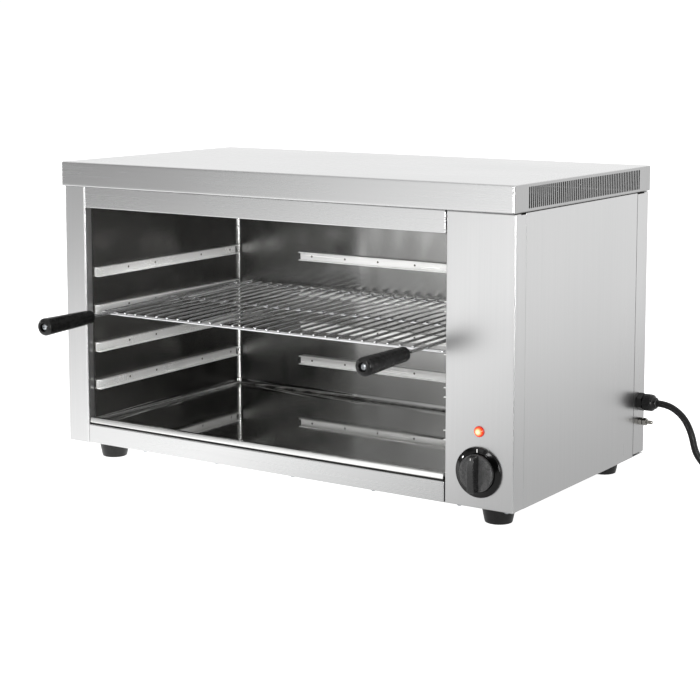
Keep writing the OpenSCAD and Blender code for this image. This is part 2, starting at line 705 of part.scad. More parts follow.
module internal_wires() placed() color("firebrick") {
  r = 1.6;
  past = 0.3;
  pin_x = element_end + bush_l / 2 + pin_l + past + r;
  tab_y = regulator_b + tab_l + past;
  lamp_y = body_f + lamp_body_l + 6 + past;
  block_top = sheet + block_h + past;
  tab = [for (t = tab_at) [knob_x + t[0], tab_y, knob_z + t[1]]];
  // From the first element down to the regulator
  drop_x = pin_x + 12;
  wire([[pin_x - r, leg_y[0], element_z], [drop_x, leg_y[0], element_z], [drop_x, tab_y + 12, element_z],
    [drop_x, tab_y + 12, tab[0][2]], [tab[0][0], tab_y + 12, tab[0][2]], tab[0]], r);
  // From one element to the next
  for (i = [1, 3]) wire([[pin_x - r, leg_y[i], element_z], [pin_x + 4, leg_y[i], element_z],
    [pin_x + 4, leg_y[i + 1], element_z], [pin_x - r, leg_y[i + 1], element_z]], r);
  // From the last element to the terminal block
  wire([[pin_x - r, leg_y[5], element_z], [block_x + 30, leg_y[5], element_z], [block_x + 30, leg_y[5], 60],
    [block_x + 30, block_y + 17, 60], [block_x + 30, block_y + 17, block_top]], r);
  // From the lamp to the regulator, and from the lamp to the terminal block
  wire([[knob_x - 2.5, lamp_y, lamp_z], [knob_x - 2.5, tab_y + 20, lamp_z], [tab[1][0], tab_y + 20, lamp_z],
    [tab[1][0], tab_y + 20, tab[1][2]], tab[1]], r);
  wire([[knob_x + 2.5, lamp_y, lamp_z], [knob_x + 2.5, lamp_y + 12, lamp_z],
    [knob_x + 30, lamp_y + 12, lamp_z], [knob_x + 30, lamp_y + 12, 20], [knob_x + 30, block_y - 14, 20],
    [block_x + 40, block_y - 14, 20], [block_x + 40, block_y - past, 20]], r);
  // From the regulator to the terminal block
  wire([tab[2], [tab[2][0], tab_y + 34, tab[2][2]], [tab[2][0], tab_y + 34, 12],
    [tab[2][0], block_y - 24, 12], [block_x + 20, block_y - 24, 12], [block_x + 20, block_y - past, 12]], r);
  // From the terminal block to the earth stud
  wire([[block_x + block_w + past, block_y + 12, 12], [block_x + block_w + 7, block_y + 12, 12],
    [block_x + block_w + 7, block_y + 12, stud_z], [block_x + block_w + 7, stud_y, stud_z],
    [body_r - sheet - stud_inner - past, stud_y, stud_z]], r);
}

// The cord's sheath inside the machine, from the gland to the terminal block
module inner_lead() placed() color([0.1, 0.1, 0.1]) {
  x = block_x + 41;
  wire([[body_r - sheet - 12 - slip, gland_y, gland_z], [x, gland_y, gland_z], [x, block_y + 17, gland_z],
    [x, block_y + 17, sheet + block_h + slip]], cord_r);
}

// ---- Earth stud and cable gland ----

// A turned neck just past the nuts marks off the free end, which takes the bonding lead's clamp
module earth_stud() placed() color("silver") {
  x0 = body_r - sheet - stud_inner;
  rod_x([x0, stud_y, stud_z], stud_d / 2, stud_neck_x - x0);
  rod_x([stud_neck_x - eps, stud_y, stud_z], stud_neck_r, stud_neck_l + 2 * eps);
  rod_x([stud_neck_x + stud_neck_l, stud_y, stud_z], stud_d / 2,
    body_r + stud_len - stud_neck_x - stud_neck_l);
}

module earth_nuts() placed() color("silver") {
  bore = stud_d / 2 + shaft_gap;
  inner = body_r - sheet - nut_h;
  nut_x([inner, stud_y, stud_z], nut_r, bore, nut_h);
  nut_x([body_r, stud_y, stud_z], nut_r, bore, nut_h);
  for (x = [body_r + nut_h, body_r + nut_h + washer_h + washer_gap]) difference() {
    rod_x([x, stud_y, stud_z], washer_r, washer_h);
    rod_x([x - 1, stud_y, stud_z], bore, washer_h + 2);
  }
  nut_x([stud_neck_x - nut_h, stud_y, stud_z], nut_r, bore, nut_h);
}

module cable_gland() placed() color([0.06, 0.06, 0.06])
  translate([body_r, gland_y, gland_z]) rotate([0, 90, 0]) {
  translate([0, 0, -sheet - 12]) cylinder(d = gland_thread_d, h = sheet + 12 + eps);
  cylinder(d = gland_d, h = gland_hex_l, $fn = 6);
  translate([0, 0, gland_hex_l]) cylinder(d = gland_d - 5, h = 1);
  translate([0, 0, gland_hex_l + 1]) difference() {
    cylinder(d = gland_d - 1, h = gland_nut_l - gland_hex_l - 1);
    for (a = [0 : 30 : 330])
      rotate([0, 0, a]) translate([gland_d / 2 + 0.4, 0, -1]) cylinder(r = 1.6, h = 12);
  }
  translate([0, 0, gland_nut_l]) cylinder(d1 = gland_d - 4, d2 = cord_d + 5, h = gland_out - gland_nut_l);
}

module gland_locknut() placed() color([0.06, 0.06, 0.06])
  nut_x([body_r - sheet - 5, gland_y, gland_z], 14.5, gland_thread_d / 2 + shaft_gap, 5);

// ---- Feet and screws ----

module foot(i) placed() color([0.07, 0.07, 0.07])
  translate([foot_at[i][0], foot_at[i][1], -foot_h]) difference() {
  cylinder(d1 = foot_bottom_d, d2 = foot_top_d, h = foot_h, $fn = 64);
  translate([0, 0, -1]) cylinder(d = foot_screw_d + 2 * hole_gap, h = foot_h + 2);
  translate([0, 0, -1]) cylinder(d = foot_sink_d, h = foot_sink_h + 1);
}
module foot_front_left() foot(0);
module foot_front_right() foot(1);
module foot_rear_left() foot(2);
module foot_rear_right() foot(3);

module foot_screws() placed() color("silver") for (p = foot_at)
  translate([p[0], p[1], -foot_h + foot_sink_h])
    pan_screw(foot_h - foot_sink_h + sheet + 8, foot_screw_d, 10, 3);

module base_screws() placed() color("silver") for (p = base_screw_at) translate([p[0], p[1], 0]) pan_screw();

module rear_screws() placed() color("silver") for (x = rear_screw_x, z = rear_screw_z)
  translate([x, body_b, z]) rotate([90, 0, 0]) pan_screw();

// ---- Mains cord ----

// The direction of the route at each of its points
function along(p, i) =
  let (d = p[min(i + 1, len(p) - 1)] - p[max(i - 1, 0)]) d / norm(d);
function ring(c, d, r) =
  let (s = cross(d, [0, 1, 0]), u = norm(s) > 0.2 ? s / norm(s) : [0, 0, 1], v = cross(d, u))
  [for (k = [0 : tube_sides - 1]) c + r * (cos(360 * k / tube_sides) * u + sin(360 * k / tube_sides) * v)];

module tube(p, r) {
  n = len(p);
  m = tube_sides;
  polyhedron(
    points = [for (i = [0 : n - 1]) each ring(p[i], along(p, i), r)],
    faces = concat(
      [[for (k = [0 : m - 1]) k]],
      [for (i = [0 : n - 2], k = [0 : m - 1])
        [i * m + k, (i + 1) * m + k, (i + 1) * m + (k + 1) % m, i * m + (k + 1) % m]],
      [[for (k = [m - 1 : -1 : 0]) (n - 1) * m + k]]
    )
  );
}

module mains_cord() color([0.08, 0.08, 0.08]) {
  tube(lead_points, cord_r);
  tube(tail_points, cord_r);
}

module cord_coil() color([0.08, 0.08, 0.08]) translate([coil_c[0], coil_c[1], 0]) {
  rotate_extrude() translate([coil_r_in, 0]) square([coil_r_out - coil_r_in, coil_h]);
  rotate([0, 0, -90]) rotate_extrude(angle = 180)
    translate([coil_r_out - eps, 0]) square([coil_r_last - coil_r_out, coil_h]);
}

// The tie's strap goes over the coil, down both of its sides
module cord_tie() color([0.15, 0.15, 0.15]) translate([coil_c[0], coil_c[1], 0]) {
  outer = -coil_r_out - slip;
  inner = slip - sqrt(pow(coil_r_in, 2) - pow(tie_w / 2, 2));
  for (x = [outer - tie_t, inner]) slab([x, x + tie_t], [-tie_w / 2, tie_w / 2], [0, coil_h + tie_t]);
  slab([outer - tie_t, inner + tie_t], [-tie_w / 2, tie_w / 2], [coil_h, coil_h + tie_t]);
}

module plug() color([0.08, 0.08, 0.08]) translate(plug_at) rotate([0, -90, 0]) {
  cylinder(d1 = cord_d + 1.5, d2 = cord_d + 7, h = plug_neck_l);
  translate([-plug_h / 2, -plug_w / 2, plug_neck_l - eps]) cube([plug_h, plug_w, plug_l]);
  // Two slanting pins and the earth pin
  translate([0, 0, plug_neck_l + plug_l]) {
    for (s = [-1, 1]) translate([3, s * 7.9, 0]) rotate([0, 0, s * 30]) translate([-3.1, -0.8, -eps])
      cube([6.2, 1.6, pin_out]);
    translate([-10, -0.8, -eps]) cube([6.2, 1.6, pin_out]);
  }
}

base_pan();
left_side_panel();
right_side_panel();
rear_panel();
lid();
front_lintel();
front_sill();
control_panel();
cavity_left_wall();
cavity_right_wall();
cavity_back_wall();
cavity_ceiling();
cavity_floor();
left_rail_1();
left_rail_2();
left_rail_3();
left_rail_4();
right_rail_1();
right_rail_2();
right_rail_3();
right_rail_4();
back_rail_1();
back_rail_2();
back_rail_3();
back_rail_4();
crumb_tray();
rack_grid();
left_grip();
right_grip();
grip_screws();
heating_element_1();
heating_element_2();
heating_element_3();
element_hangers();
element_bushes();
energy_regulator();
regulator_screws();
regulator_shaft();
knob_bezel();
control_knob();
pilot_lamp_lens();
pilot_lamp_body();
terminal_block();
internal_wires();
inner_lead();
earth_stud();
earth_nuts();
cable_gland();
gland_locknut();
foot_front_left();
foot_front_right();
foot_rear_left();
foot_rear_right();
foot_screws();
base_screws();
rear_screws();
mains_cord();
cord_coil();
cord_tie();
plug();
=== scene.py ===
"""Dresses the counter-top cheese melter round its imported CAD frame.

Meshes are drawn in millimetres in the part's own frame (+X to the user's right, +Y away from the user, +Z up,
origin on the floor under the middle of the machine) and turned into metres as each piece is finished.
"""

import logging
import math
from collections.abc import Callable, Iterable, Sequence
from dataclasses import dataclass, replace
from enum import Enum

import bmesh
import bpy
from mathutils import Matrix, Vector


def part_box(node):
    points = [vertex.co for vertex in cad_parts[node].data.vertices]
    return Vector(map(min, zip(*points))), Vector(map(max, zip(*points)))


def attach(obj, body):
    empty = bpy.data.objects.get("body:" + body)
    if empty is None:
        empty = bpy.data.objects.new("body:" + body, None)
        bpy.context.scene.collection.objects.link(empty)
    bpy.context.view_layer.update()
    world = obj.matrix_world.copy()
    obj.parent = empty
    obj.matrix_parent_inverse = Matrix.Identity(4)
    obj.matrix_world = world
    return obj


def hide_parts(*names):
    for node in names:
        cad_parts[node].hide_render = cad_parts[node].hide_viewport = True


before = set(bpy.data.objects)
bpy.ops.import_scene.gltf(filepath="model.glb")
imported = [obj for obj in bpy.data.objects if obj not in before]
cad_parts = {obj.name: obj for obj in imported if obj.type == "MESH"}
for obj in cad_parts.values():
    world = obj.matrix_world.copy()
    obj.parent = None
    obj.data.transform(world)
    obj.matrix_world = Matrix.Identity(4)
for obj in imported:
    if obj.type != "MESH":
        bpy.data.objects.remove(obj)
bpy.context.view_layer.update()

LOG = logging.getLogger("cheese_melter")
MM = 0.001
SHARP_ANGLE = math.radians(32)
SHEET = 1.2       # thickness of the steel sheet
BEND = 2.0        # outer radius of a fold in it
CABINET = "cabinet"
RACK = "rack"
TRAY = "crumb_tray"
KNOB = "knob"


# ---- Places taken from the frame ----


def node_box(node: str) -> tuple[Vector, Vector]:
    """Gives a CAD node's lowest and highest corners.

    Args:
        node: Name of the CAD node.

    Returns:
        The two corners, in millimetres.
    """
    low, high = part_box(node)
    return low / MM, high / MM


def node_islands(node: str) -> list[tuple[Vector, Vector]]:
    """Finds the separate solids of a CAD node, such as the screws of one group.

    Args:
        node: Name of the CAD node.

    Returns:
        The lowest and highest corner of each solid, in millimetres.
    """
    mesh = bmesh.new()
    mesh.from_mesh(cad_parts[node].data)
    bmesh.ops.remove_doubles(mesh, verts=mesh.verts, dist=1e-6)
    left = set(mesh.verts)
    boxes = []
    while left:
        stack = [left.pop()]
        low, high = Vector((1e9,) * 3), Vector((-1e9,) * 3)
        while stack:
            vert = stack.pop()
            low = Vector(map(min, low, vert.co))
            high = Vector(map(max, high, vert.co))
            for edge in vert.link_edges:
                other = edge.other_vert(vert)
                if other in left:
                    left.remove(other)
                    stack.append(other)
        boxes.append((low / MM, high / MM))
    mesh.free()
    return sorted(boxes, key=lambda box: tuple(round(value, 2) for value in box[0]))


# ---- Finishes ----


def linear(hex_colour: str) -> tuple[float, float, float, float]:
    """Turns an sRGB hex colour into linear values.

    Args:
        hex_colour: A colour such as "#C8C8C6".

    Returns:
        Linear red, green, blue and an alpha of 1.
    """
    def channel(value: float) -> float:
        """Turns one channel."""
        return value / 12.92 if value <= 0.04045 else ((value + 0.055) / 1.055) ** 2.4

    red, green, blue = (channel(int(hex_colour[i:i + 2], 16) / 255) for i in (1, 3, 5))
    return red, green, blue, 1.0


def add_node(
    tree: bpy.types.NodeTree, kind: str, inputs: dict[str | int, object] | Sequence[object] = (),
    **settings: object,
) -> bpy.types.Node:
    """Adds a node with its settings, values and links.

    Args:
        tree: The node tree that gets the node.
        kind: The node's type without its "ShaderNode" beginning.
        inputs: Values of the first inputs in their order, or of inputs by name or number. An output is
            linked, and a node stands for its first output.
        settings: The node's own settings.

    Returns:
        The new node.
    """
    node = tree.nodes.new("ShaderNode" + kind)
    for key, value in settings.items():
        setattr(node, key, value)
    for key, value in inputs.items() if isinstance(inputs, dict) else enumerate(inputs):
        if isinstance(value, bpy.types.Node):
            value = value.outputs[0]
        if isinstance(value, bpy.types.NodeSocket):
            tree.links.new(value, node.inputs[key])
        else:
            node.inputs[key].default_value = value
    return node


class MixInputs(Enum):
    """Numbers of the Mix node's factor and two values, whose names repeat."""

    NUMBERS = (0, 2, 3)
    COLOURS = (0, 6, 7)

    def take(self, factor: object, first: object, second: object) -> dict[int, object]:
        """Gives each value the number of its input."""
        return dict(zip(self.value, (factor, first, second)))


COLOUR_RESULT = 2
# Where a noise of Blender's lies nearly always, and the middle part that most of it fills
NOISE_SPAN = (0.3, 0.7)
NOISE_CORE = (0.35, 0.65)
SMOOTH = {"interpolation_type": "SMOOTHSTEP"}
# Colour of the painted shade in gaps and crevices
GAP_SHADE_COLOUR = "#0E0D0C"


def empty_tree(owner: bpy.types.Material | bpy.types.World) -> bpy.types.NodeTree:
    """Gives a new material or world a node tree with nothing in it.

    Args:
        owner: The material or world.

    Returns:
        The tree.
    """
    owner.use_nodes = True
    owner.node_tree.nodes.clear()
    return owner.node_tree


@dataclass(frozen=True)
class Finish:
    """A material with a fine grain, a broad clouding, rubbed edges and painted shade in its gaps.

    Attributes:
        name: Common name of the material and how its surface was made.
        colour: Main sRGB colour.
        shade: The sRGB colour that the clouding and the grain turn it to.
        roughness: Roughness of the surface between the grain.
        grain_mm: Size of the grain along X, Y and Z.
        grain_rough: How far the grain moves the roughness.
        grain_tint: How far the grain moves the colour towards the shade, 0 to 1.
        relief_mm: Height of the grain.
        cloud_mm: Size of the clouding along X, Y and Z.
        cloud_tint: How far the clouding moves the colour towards the shade, 0 to 1.
        cloud_rough: How far the clouding moves the roughness.
        rub: sRGB colour of an edge worn by use, or nothing.
        rub_mm: Width of the worn edge.
        gap_shade: How far painted shade darkens gaps and crevices, 0 to 1.
        gap_shade_mm: How far the painted shade reaches out of a crevice.
    """

    name: str
    colour: str
    shade: str
    roughness: float
    grain_mm: tuple[float, float, float] = (1.0, 1.0, 1.0)
    grain_rough: float = 0.05
    grain_tint: float = 0.3
    relief_mm: float = 0.01
    cloud_mm: tuple[float, float, float] = (60.0, 60.0, 60.0)
    cloud_tint: float = 0.4
    cloud_rough: float = 0.04
    rub: str = ""
    rub_mm: float = 0.6
    gap_shade: float = 0.0
    gap_shade_mm: float = 4.0

    def dress_shader(self, tree: bpy.types.NodeTree, shader: bpy.types.Node) -> None:
        """Sets what one kind of material has on its shader; a plain finish has nothing more."""

    def noise(self, tree: bpy.types.NodeTree, size: Sequence[float], detail: float) -> bpy.types.NodeSocket:
        """Adds a noise of a real size, fixed to the piece.

        Args:
            tree: The material's node tree.
            size: Size of the noise along X, Y and Z, in millimetres.
            detail: Finer layers within it.

        Returns:
            The noise's value, about 0.3 to 0.7.
        """
        place = add_node(tree, "TexCoord").outputs["Object"]
        scale = tuple(1 / (MM * value) for value in size)
        mapped = add_node(tree, "Mapping", {"Vector": place, "Scale": scale})
        return add_node(tree, "TexNoise", {"Vector": mapped, "Scale": 1.0, "Detail": detail}).outputs[0]

    def blend(
        self, tree: bpy.types.NodeTree, factor: bpy.types.NodeSocket, reach: float, first: object,
        second: object,
    ) -> bpy.types.NodeSocket:
        """Mixes two colours by a noise.

        Args:
            tree: The material's node tree.
            factor: The noise.
            reach: Share of the second colour where the noise is highest.
            first: Colour or output at the low end.
            second: Colour at the high end.

        Returns:
            The mixed colour.
        """
        level = add_node(tree, "MapRange", (factor, *NOISE_CORE, 0.0, reach))
        inputs = MixInputs.COLOURS.take(level, first, second)
        return add_node(tree, "Mix", inputs, data_type="RGBA").outputs[COLOUR_RESULT]

    def worn_edges(self, tree: bpy.types.NodeTree, colour: bpy.types.NodeSocket) -> bpy.types.NodeSocket:
        """Lightens the colour where edges are rubbed.

        Args:
            tree: The material's node tree.
            colour: The colour away from the edges.

        Returns:
            The colour with its edges.
        """
        rounded = add_node(tree, "Bevel", {"Radius": self.rub_mm * MM}, samples=4)
        true = add_node(tree, "NewGeometry").outputs["Normal"]
        match = add_node(tree, "VectorMath", (rounded, true), operation="DOT_PRODUCT").outputs["Value"]
        edge = add_node(tree, "MapRange", (match, 0.99, 0.8, 0.0, 0.7))
        inputs = MixInputs.COLOURS.take(edge, colour, linear(self.rub))
        return add_node(tree, "Mix", inputs, data_type="RGBA").outputs[COLOUR_RESULT]

    def paint_gap_shade(self, tree: bpy.types.NodeTree, colour: bpy.types.NodeSocket) -> bpy.types.NodeSocket:
        """Darkens the colour in gaps and crevices: painted shade where ambient occlusion finds nearby
        surfaces.

        Args:
            tree: The material's node tree.
            colour: The colour of the open surface.

        Returns:
            The colour with its painted shade.
        """
        reach = {"Distance": self.gap_shade_mm * MM}
        open_share = add_node(tree, "AmbientOcclusion", reach, samples=6).outputs["AO"]
        gap_shading = add_node(tree, "MapRange", (open_share, 0.15, 0.75, self.gap_shade, 0.0))
        inputs = MixInputs.COLOURS.take(gap_shading, colour, linear(GAP_SHADE_COLOUR))
        return add_node(tree, "Mix", inputs, data_type="RGBA").outputs[COLOUR_RESULT]

    def material(self) -> bpy.types.Material:
        """Builds the material once.

        Returns:
            The material.
        """
        made = bpy.data.materials.get(self.name)
        if made:
            return made
        made = bpy.data.materials.new(self.name)
        made.use_nodes = True
        tree = made.node_tree
        shader = tree.nodes["Principled BSDF"]
        grain = self.noise(tree, self.grain_mm, 2.0)
        cloud = self.noise(tree, self.cloud_mm, 1.0)
        colour = self.blend(tree, cloud, self.cloud_tint, linear(self.colour), linear(self.shade))
        colour = self.blend(tree, grain, self.grain_tint, colour, linear(self.shade))
        if self.rub:
            colour = self.worn_edges(tree, colour)
        # Painted shade, darker in gaps and crevices
        if self.gap_shade:
            colour = self.paint_gap_shade(tree, colour)
        tree.links.new(colour, shader.inputs["Base Color"])
        smoothest, roughest = self.roughness - self.grain_rough, self.roughness + self.grain_rough
        fine = add_node(tree, "MapRange", (grain, *NOISE_SPAN, smoothest, roughest))
        broad = add_node(tree, "MapRange", (cloud, *NOISE_SPAN, -self.cloud_rough, self.cloud_rough))
        rough = add_node(tree, "Math", (fine, broad), operation="ADD", use_clamp=True)
        tree.links.new(rough.outputs[0], shader.inputs["Roughness"])
        if self.relief_mm:
            bump = add_node(tree, "Bump", {"Height": grain, "Strength": 1.0, "Distance": self.relief_mm * MM})
            tree.links.new(bump.outputs[0], shader.inputs["Normal"])
        self.dress_shader(tree, shader)
        return made


@dataclass(frozen=True)
class Metal(Finish):
    """Bare or plated metal.

    Attributes:
        bare: Metallic share; below 1 the rest of the colour scatters light as paint does, a painted pale
            sheen on the metal.
        drag: How far an upright sheet drags its reflections out upwards and downwards, 0 to 1.
    """

    bare: float = 1.0
    drag: float = 0.0

    def dress_shader(self, tree: bpy.types.NodeTree, shader: bpy.types.Node) -> None:
        """Makes the shader metallic and, where the finish has a direction, drags its reflections out."""
        shader.inputs["Metallic"].default_value = self.bare
        if self.drag:
            around = add_node(tree, "Tangent", direction_type="RADIAL", axis="Z")
            tree.links.new(around.outputs[0], shader.inputs["Tangent"])
            shader.inputs["Anisotropic"].default_value = self.drag
            shader.inputs["Anisotropic Rotation"].default_value = 0.25


@dataclass(frozen=True)
class Moulded(Finish):
    """A plastic, rubber or ceramic.

    Attributes:
        ior: Index of refraction.
        coat: Weight of a glossy skin, as a polished mould leaves it.
        shine: Specular level, below 0.5 where dust and pores take the shine away.
    """

    ior: float = 1.5
    coat: float = 0.0
    shine: float = 0.5

    def dress_shader(self, tree: bpy.types.NodeTree, shader: bpy.types.Node) -> None:
        """Sets the index of refraction and the skin."""
        shader.inputs["IOR"].default_value = self.ior
        shader.inputs["Specular IOR Level"].default_value = self.shine
        shader.inputs["Coat Weight"].default_value = self.coat
        shader.inputs["Coat Roughness"].default_value = 0.06


@dataclass(frozen=True)
class LitLens(Moulded):
    """A clear coloured plastic with a lamp behind it, hottest straight in front of the lamp.

    Attributes:
        core: sRGB colour of the light straight in front of the lamp.
        glow: sRGB colour of the light at the lens's edge.
        strength: How bright it is.
        centre: The lamp's place, in millimetres.
        reach_mm: Distance at which the light has its edge colour.
    """

    core: str = "#FFF0B8"
    glow: str = "#F4400E"
    strength: float = 1.0
    centre: tuple[float, float, float] = (335.8, -146.0, 128.7)
    reach_mm: float = 6.0

    def dress_shader(self, tree: bpy.types.NodeTree, shader: bpy.types.Node) -> None:
        """Lets the lens glow."""
        super().dress_shader(tree, shader)
        place = add_node(tree, "TexCoord").outputs["Object"]
        centre = tuple(value * MM for value in self.centre)
        reach = add_node(tree, "VectorMath", (place, centre), operation="DISTANCE").outputs["Value"]
        share = add_node(tree, "MapRange", (reach, 0.0, self.reach_mm * MM, 0.0, 1.0), **SMOOTH)
        inputs = MixInputs.COLOURS.take(share, linear(self.core), linear(self.glow))
        light = add_node(tree, "Mix", inputs, data_type="RGBA").outputs[COLOUR_RESULT]
        tree.links.new(light, shader.inputs["Emission Color"])
        shader.inputs["Emission Strength"].default_value = self.strength


def stretched(width: float, length: float, axis: str) -> tuple[float, float, float]:
    """Gives the size of a grain that runs along one axis.

    Args:
        width: Width of a line of the grain, in millimetres.
        length: Length of a line, in millimetres.
        axis: "x", "y" or "z".

    Returns:
        The sizes along X, Y and Z.
    """
    sizes = [width] * 3
    sizes["xyz".index(axis)] = length
    return tuple(sizes)


# The belt leaves lines about 0.1 mm wide, too fine to show, so every brushed grain is drawn about 2 mm wide.
GRAIN_W = 2.2
GRAIN_L = 220.0

# 430 stainless sheet, belt brushed upright: soft satin sheen, reflections drawn out and blurred; painted
# shade darkens its seams and gaps
BRUSHED_UPRIGHT = Metal(
    "Stainless steel, brushed upright", "#D6D6D6", "#CBCCCC", 0.3, stretched(GRAIN_W, GRAIN_L, "z"),
    grain_rough=0.012, grain_tint=0.2, relief_mm=0.0006, cloud_mm=(140, 140, 300), cloud_tint=0.2,
    cloud_rough=0.015, gap_shade=0.9, gap_shade_mm=1.5,
)
# The same sheet on the lid and the front rails, brushed along the machine; painted shade darkens its seams
# and gaps
BRUSHED_ALONG = Metal(
    "Stainless steel, brushed lengthwise", "#D6D6D6", "#CBCCCC", 0.27, stretched(GRAIN_W, GRAIN_L, "x"),
    grain_rough=0.012, grain_tint=0.2, relief_mm=0.0005, cloud_mm=(300, 140, 140), cloud_tint=0.2,
    cloud_rough=0.015, gap_shade=0.9, gap_shade_mm=1.5,
)
# The lid's skirts at the sides, where the grain stands upright; a darker copy of the lid's sheet, as painted
# shade
BRUSHED_ACROSS_SHADED = Metal(
    "Stainless steel, brushed across, painted shade", "#B9B9B9", "#B0B1B1", 0.3, stretched(GRAIN_W, GRAIN_L, "z"),
    grain_rough=0.012, grain_tint=0.2, relief_mm=0.0006, cloud_mm=(140, 140, 300), cloud_tint=0.2,
)
# Bright-rolled cavity walls: sharp sideways, dragged out upwards and downwards, as rolled sheet mirrors
ROLLED_LINING = Metal(
    "Stainless steel, bright rolled", "#BEBEBD", "#A8A8A6", 0.19, (70, 70, 160), cloud_mm=(50, 50, 90),
    cloud_tint=0.7, cloud_rough=0.05, drag=0.9,
)
# The side walls: the same rolled sheet as the back wall, painted darker as painted shade
SHADED_LINING = replace(
    ROLLED_LINING, name="Stainless steel, bright rolled, painted shade", colour="#868583", shade="#737270",
)
# The ceiling and floor of the cavity, as they come from the mill
MILL_SHEET = Metal(
    "Stainless steel, mill finish", "#C8C8C6", "#B0B0AE", 0.14, (60, 60, 60), cloud_mm=(60, 60, 60),
    cloud_rough=0.05,
)
# The bends at the cavity's rear corners, painted lighter than the walls: a painted highlight that shows as a
# bright upright line
BRIGHT_PAINTED_BEND = Metal(
    "Stainless steel, bend painted bright", "#F2F2F1", "#E2E2E0", 0.12, (6, 6, 40), cloud_mm=(20, 20, 60),
)
# The edges that the shear left on the lining: dull and dark
SHEARED_EDGE = Metal(
    "Stainless steel, sheared edge", "#4A4948", "#2E2D2C", 0.5, (0.7, 0.7, 0.7), relief_mm=0.02,
)
# The rack rails: a near-white colour with a small metallic share, so they read pale from every side, a
# painted sheen standing in for their reflection; painted shade darkens their gaps
SATIN_RAIL = Metal(
    "Satin metal, painted pale sheen", "#FAFAF9", "#F0F0EE", 0.24, stretched(2.0, 120.0, "x"),
    grain_rough=0.04, grain_tint=0.4, relief_mm=0.003, cloud_mm=(80, 80, 40), gap_shade=0.7, gap_shade_mm=1.5,
    bare=0.25,
)
# The weld spots on the rails are tempered brown-grey by the heat
WELD_SPOT = Metal("Stainless steel, spot welded", "#5E5A55", "#3E3B38", 0.45, (0.8, 0.8, 0.8), relief_mm=0.03)
# The crumb tray is polished, so it mirrors the cavity
POLISHED_TRAY = Metal(
    "Stainless steel, polished", "#CFCFCE", "#BABAB8", 0.05, stretched(4.0, 200.0, "x"),
    grain_rough=0.015, grain_tint=0.3, relief_mm=0.0008, cloud_mm=(90, 60, 60), cloud_tint=0.5,
    cloud_rough=0.025,
)
# The tray's lip, painted lighter than the tray: a painted highlight along its face
BRIGHT_PAINTED_LIP = Metal(
    "Stainless steel, lip painted bright", "#F2F2F1", "#E6E6E4", 0.14, stretched(3.0, 160.0, "x"), grain_rough=0.03,
    relief_mm=0.001, cloud_mm=(120, 40, 40), cloud_rough=0.03,
)
# Rack wires, nickel and chrome plated: sharp bright lines with dark undersides, and painted shade that
# darkens them where wires cross
CHROMED_WIRE = Metal(
    "Chrome plated steel wire", "#EDEDEE", "#D8D9DA", 0.07, stretched(0.8, 30.0, "y"),
    grain_rough=0.03, relief_mm=0.004, cloud_mm=(25, 60, 25), cloud_rough=0.03, gap_shade=0.95, gap_shade_mm=2.5,
)
# Screws, zinc plated and passivated: bluish grey, slightly matt, with painted shade in their recesses
ZINC_PLATED = Metal(
    "Zinc plated steel, passivated", "#C4C8CC", "#A4A8AC", 0.25, (0.5, 0.5, 0.5), relief_mm=0.01,
    cloud_mm=(4, 4, 4), rub="#E4E6E8", rub_mm=0.3, gap_shade=0.95, gap_shade_mm=1.2,
)
# Stud, nuts and washers, nickel plated: strong black and white contrast, partly from painted shade in the
# threads and between the nuts
NICKEL_PLATED = Metal(
    "Nickel plated brass", "#B5B3AE", "#9A978F", 0.1, (0.6, 0.6, 0.6), relief_mm=0.004, cloud_mm=(5, 5, 5),
    gap_shade=0.98, gap_shade_mm=2.2,
)
# Element sheaths, dark with the oxide that the first heating leaves
OXIDISED_SHEATH = Metal(
    "Nickel alloy sheath, heat oxidised", "#57524E", "#35312F", 0.48, (1.2, 1.2, 1.2), grain_rough=0.08,
    relief_mm=0.02, cloud_mm=(40, 12, 12), cloud_tint=0.7,
)
# Grips turned from phenolic: black, smooth, a broad soft highlight
PHENOLIC = Moulded(
    "Phenolic, compression moulded", "#0B0B0B", "#131312", 0.27, (0.7, 0.7, 0.7), grain_rough=0.05,
    relief_mm=0.006, cloud_mm=(14, 22, 14), cloud_rough=0.05, ior=1.6, shine=0.3, rub="#2A2928", rub_mm=1.2,
)
# Knob ring from a polished mould: deep black with hard highlights
GLOSS_ABS = Moulded(
    "ABS, gloss moulded", "#040404", "#080808", 0.1, (1.5, 1.5, 1.5), grain_rough=0.02, relief_mm=0.0015,
    cloud_mm=(12, 12, 12), cloud_rough=0.03, ior=1.54, coat=0.1, shine=0.3,
)
# Knob disc from a spark-eroded mould: a coarse grain that scatters the light and reads grey
GRAINED_ABS = Moulded(
    "ABS, grain moulded", "#565656", "#161616", 0.5, (1.5, 1.5, 1.5), grain_rough=0.08, grain_tint=1.0,
    relief_mm=0.12, cloud_mm=(9, 9, 9), ior=1.54, rub="#5A5A5A", rub_mm=0.6,
)
# Grip bar of the knob, smoother than the disc
SATIN_ABS = Moulded(
    "ABS, satin moulded", "#1C1C1C", "#101010", 0.24, (1.2, 1.2, 1.2), grain_rough=0.06, grain_tint=0.8,
    relief_mm=0.02, cloud_mm=(9, 9, 9), ior=1.54, coat=0.5, rub="#4A4A4A", rub_mm=0.7,
)
# Printed marks on the knob and its ring
MARKING_INK = Moulded(
    "White marking ink", "#F2F2F0", "#DEDEDA", 0.5, (0.4, 0.4, 0.4), relief_mm=0.01, cloud_mm=(2, 2, 2),
)
# The lamp's lens, amber and lit, hottest in the middle
AMBER_LENS = LitLens(
    "Polycarbonate lens, amber", "#D8541C", "#B83210", 0.12, (1.0, 1.0, 1.0), relief_mm=0.01,
    cloud_mm=(3, 3, 3), ior=1.58, coat=0.6, strength=1.8,
)
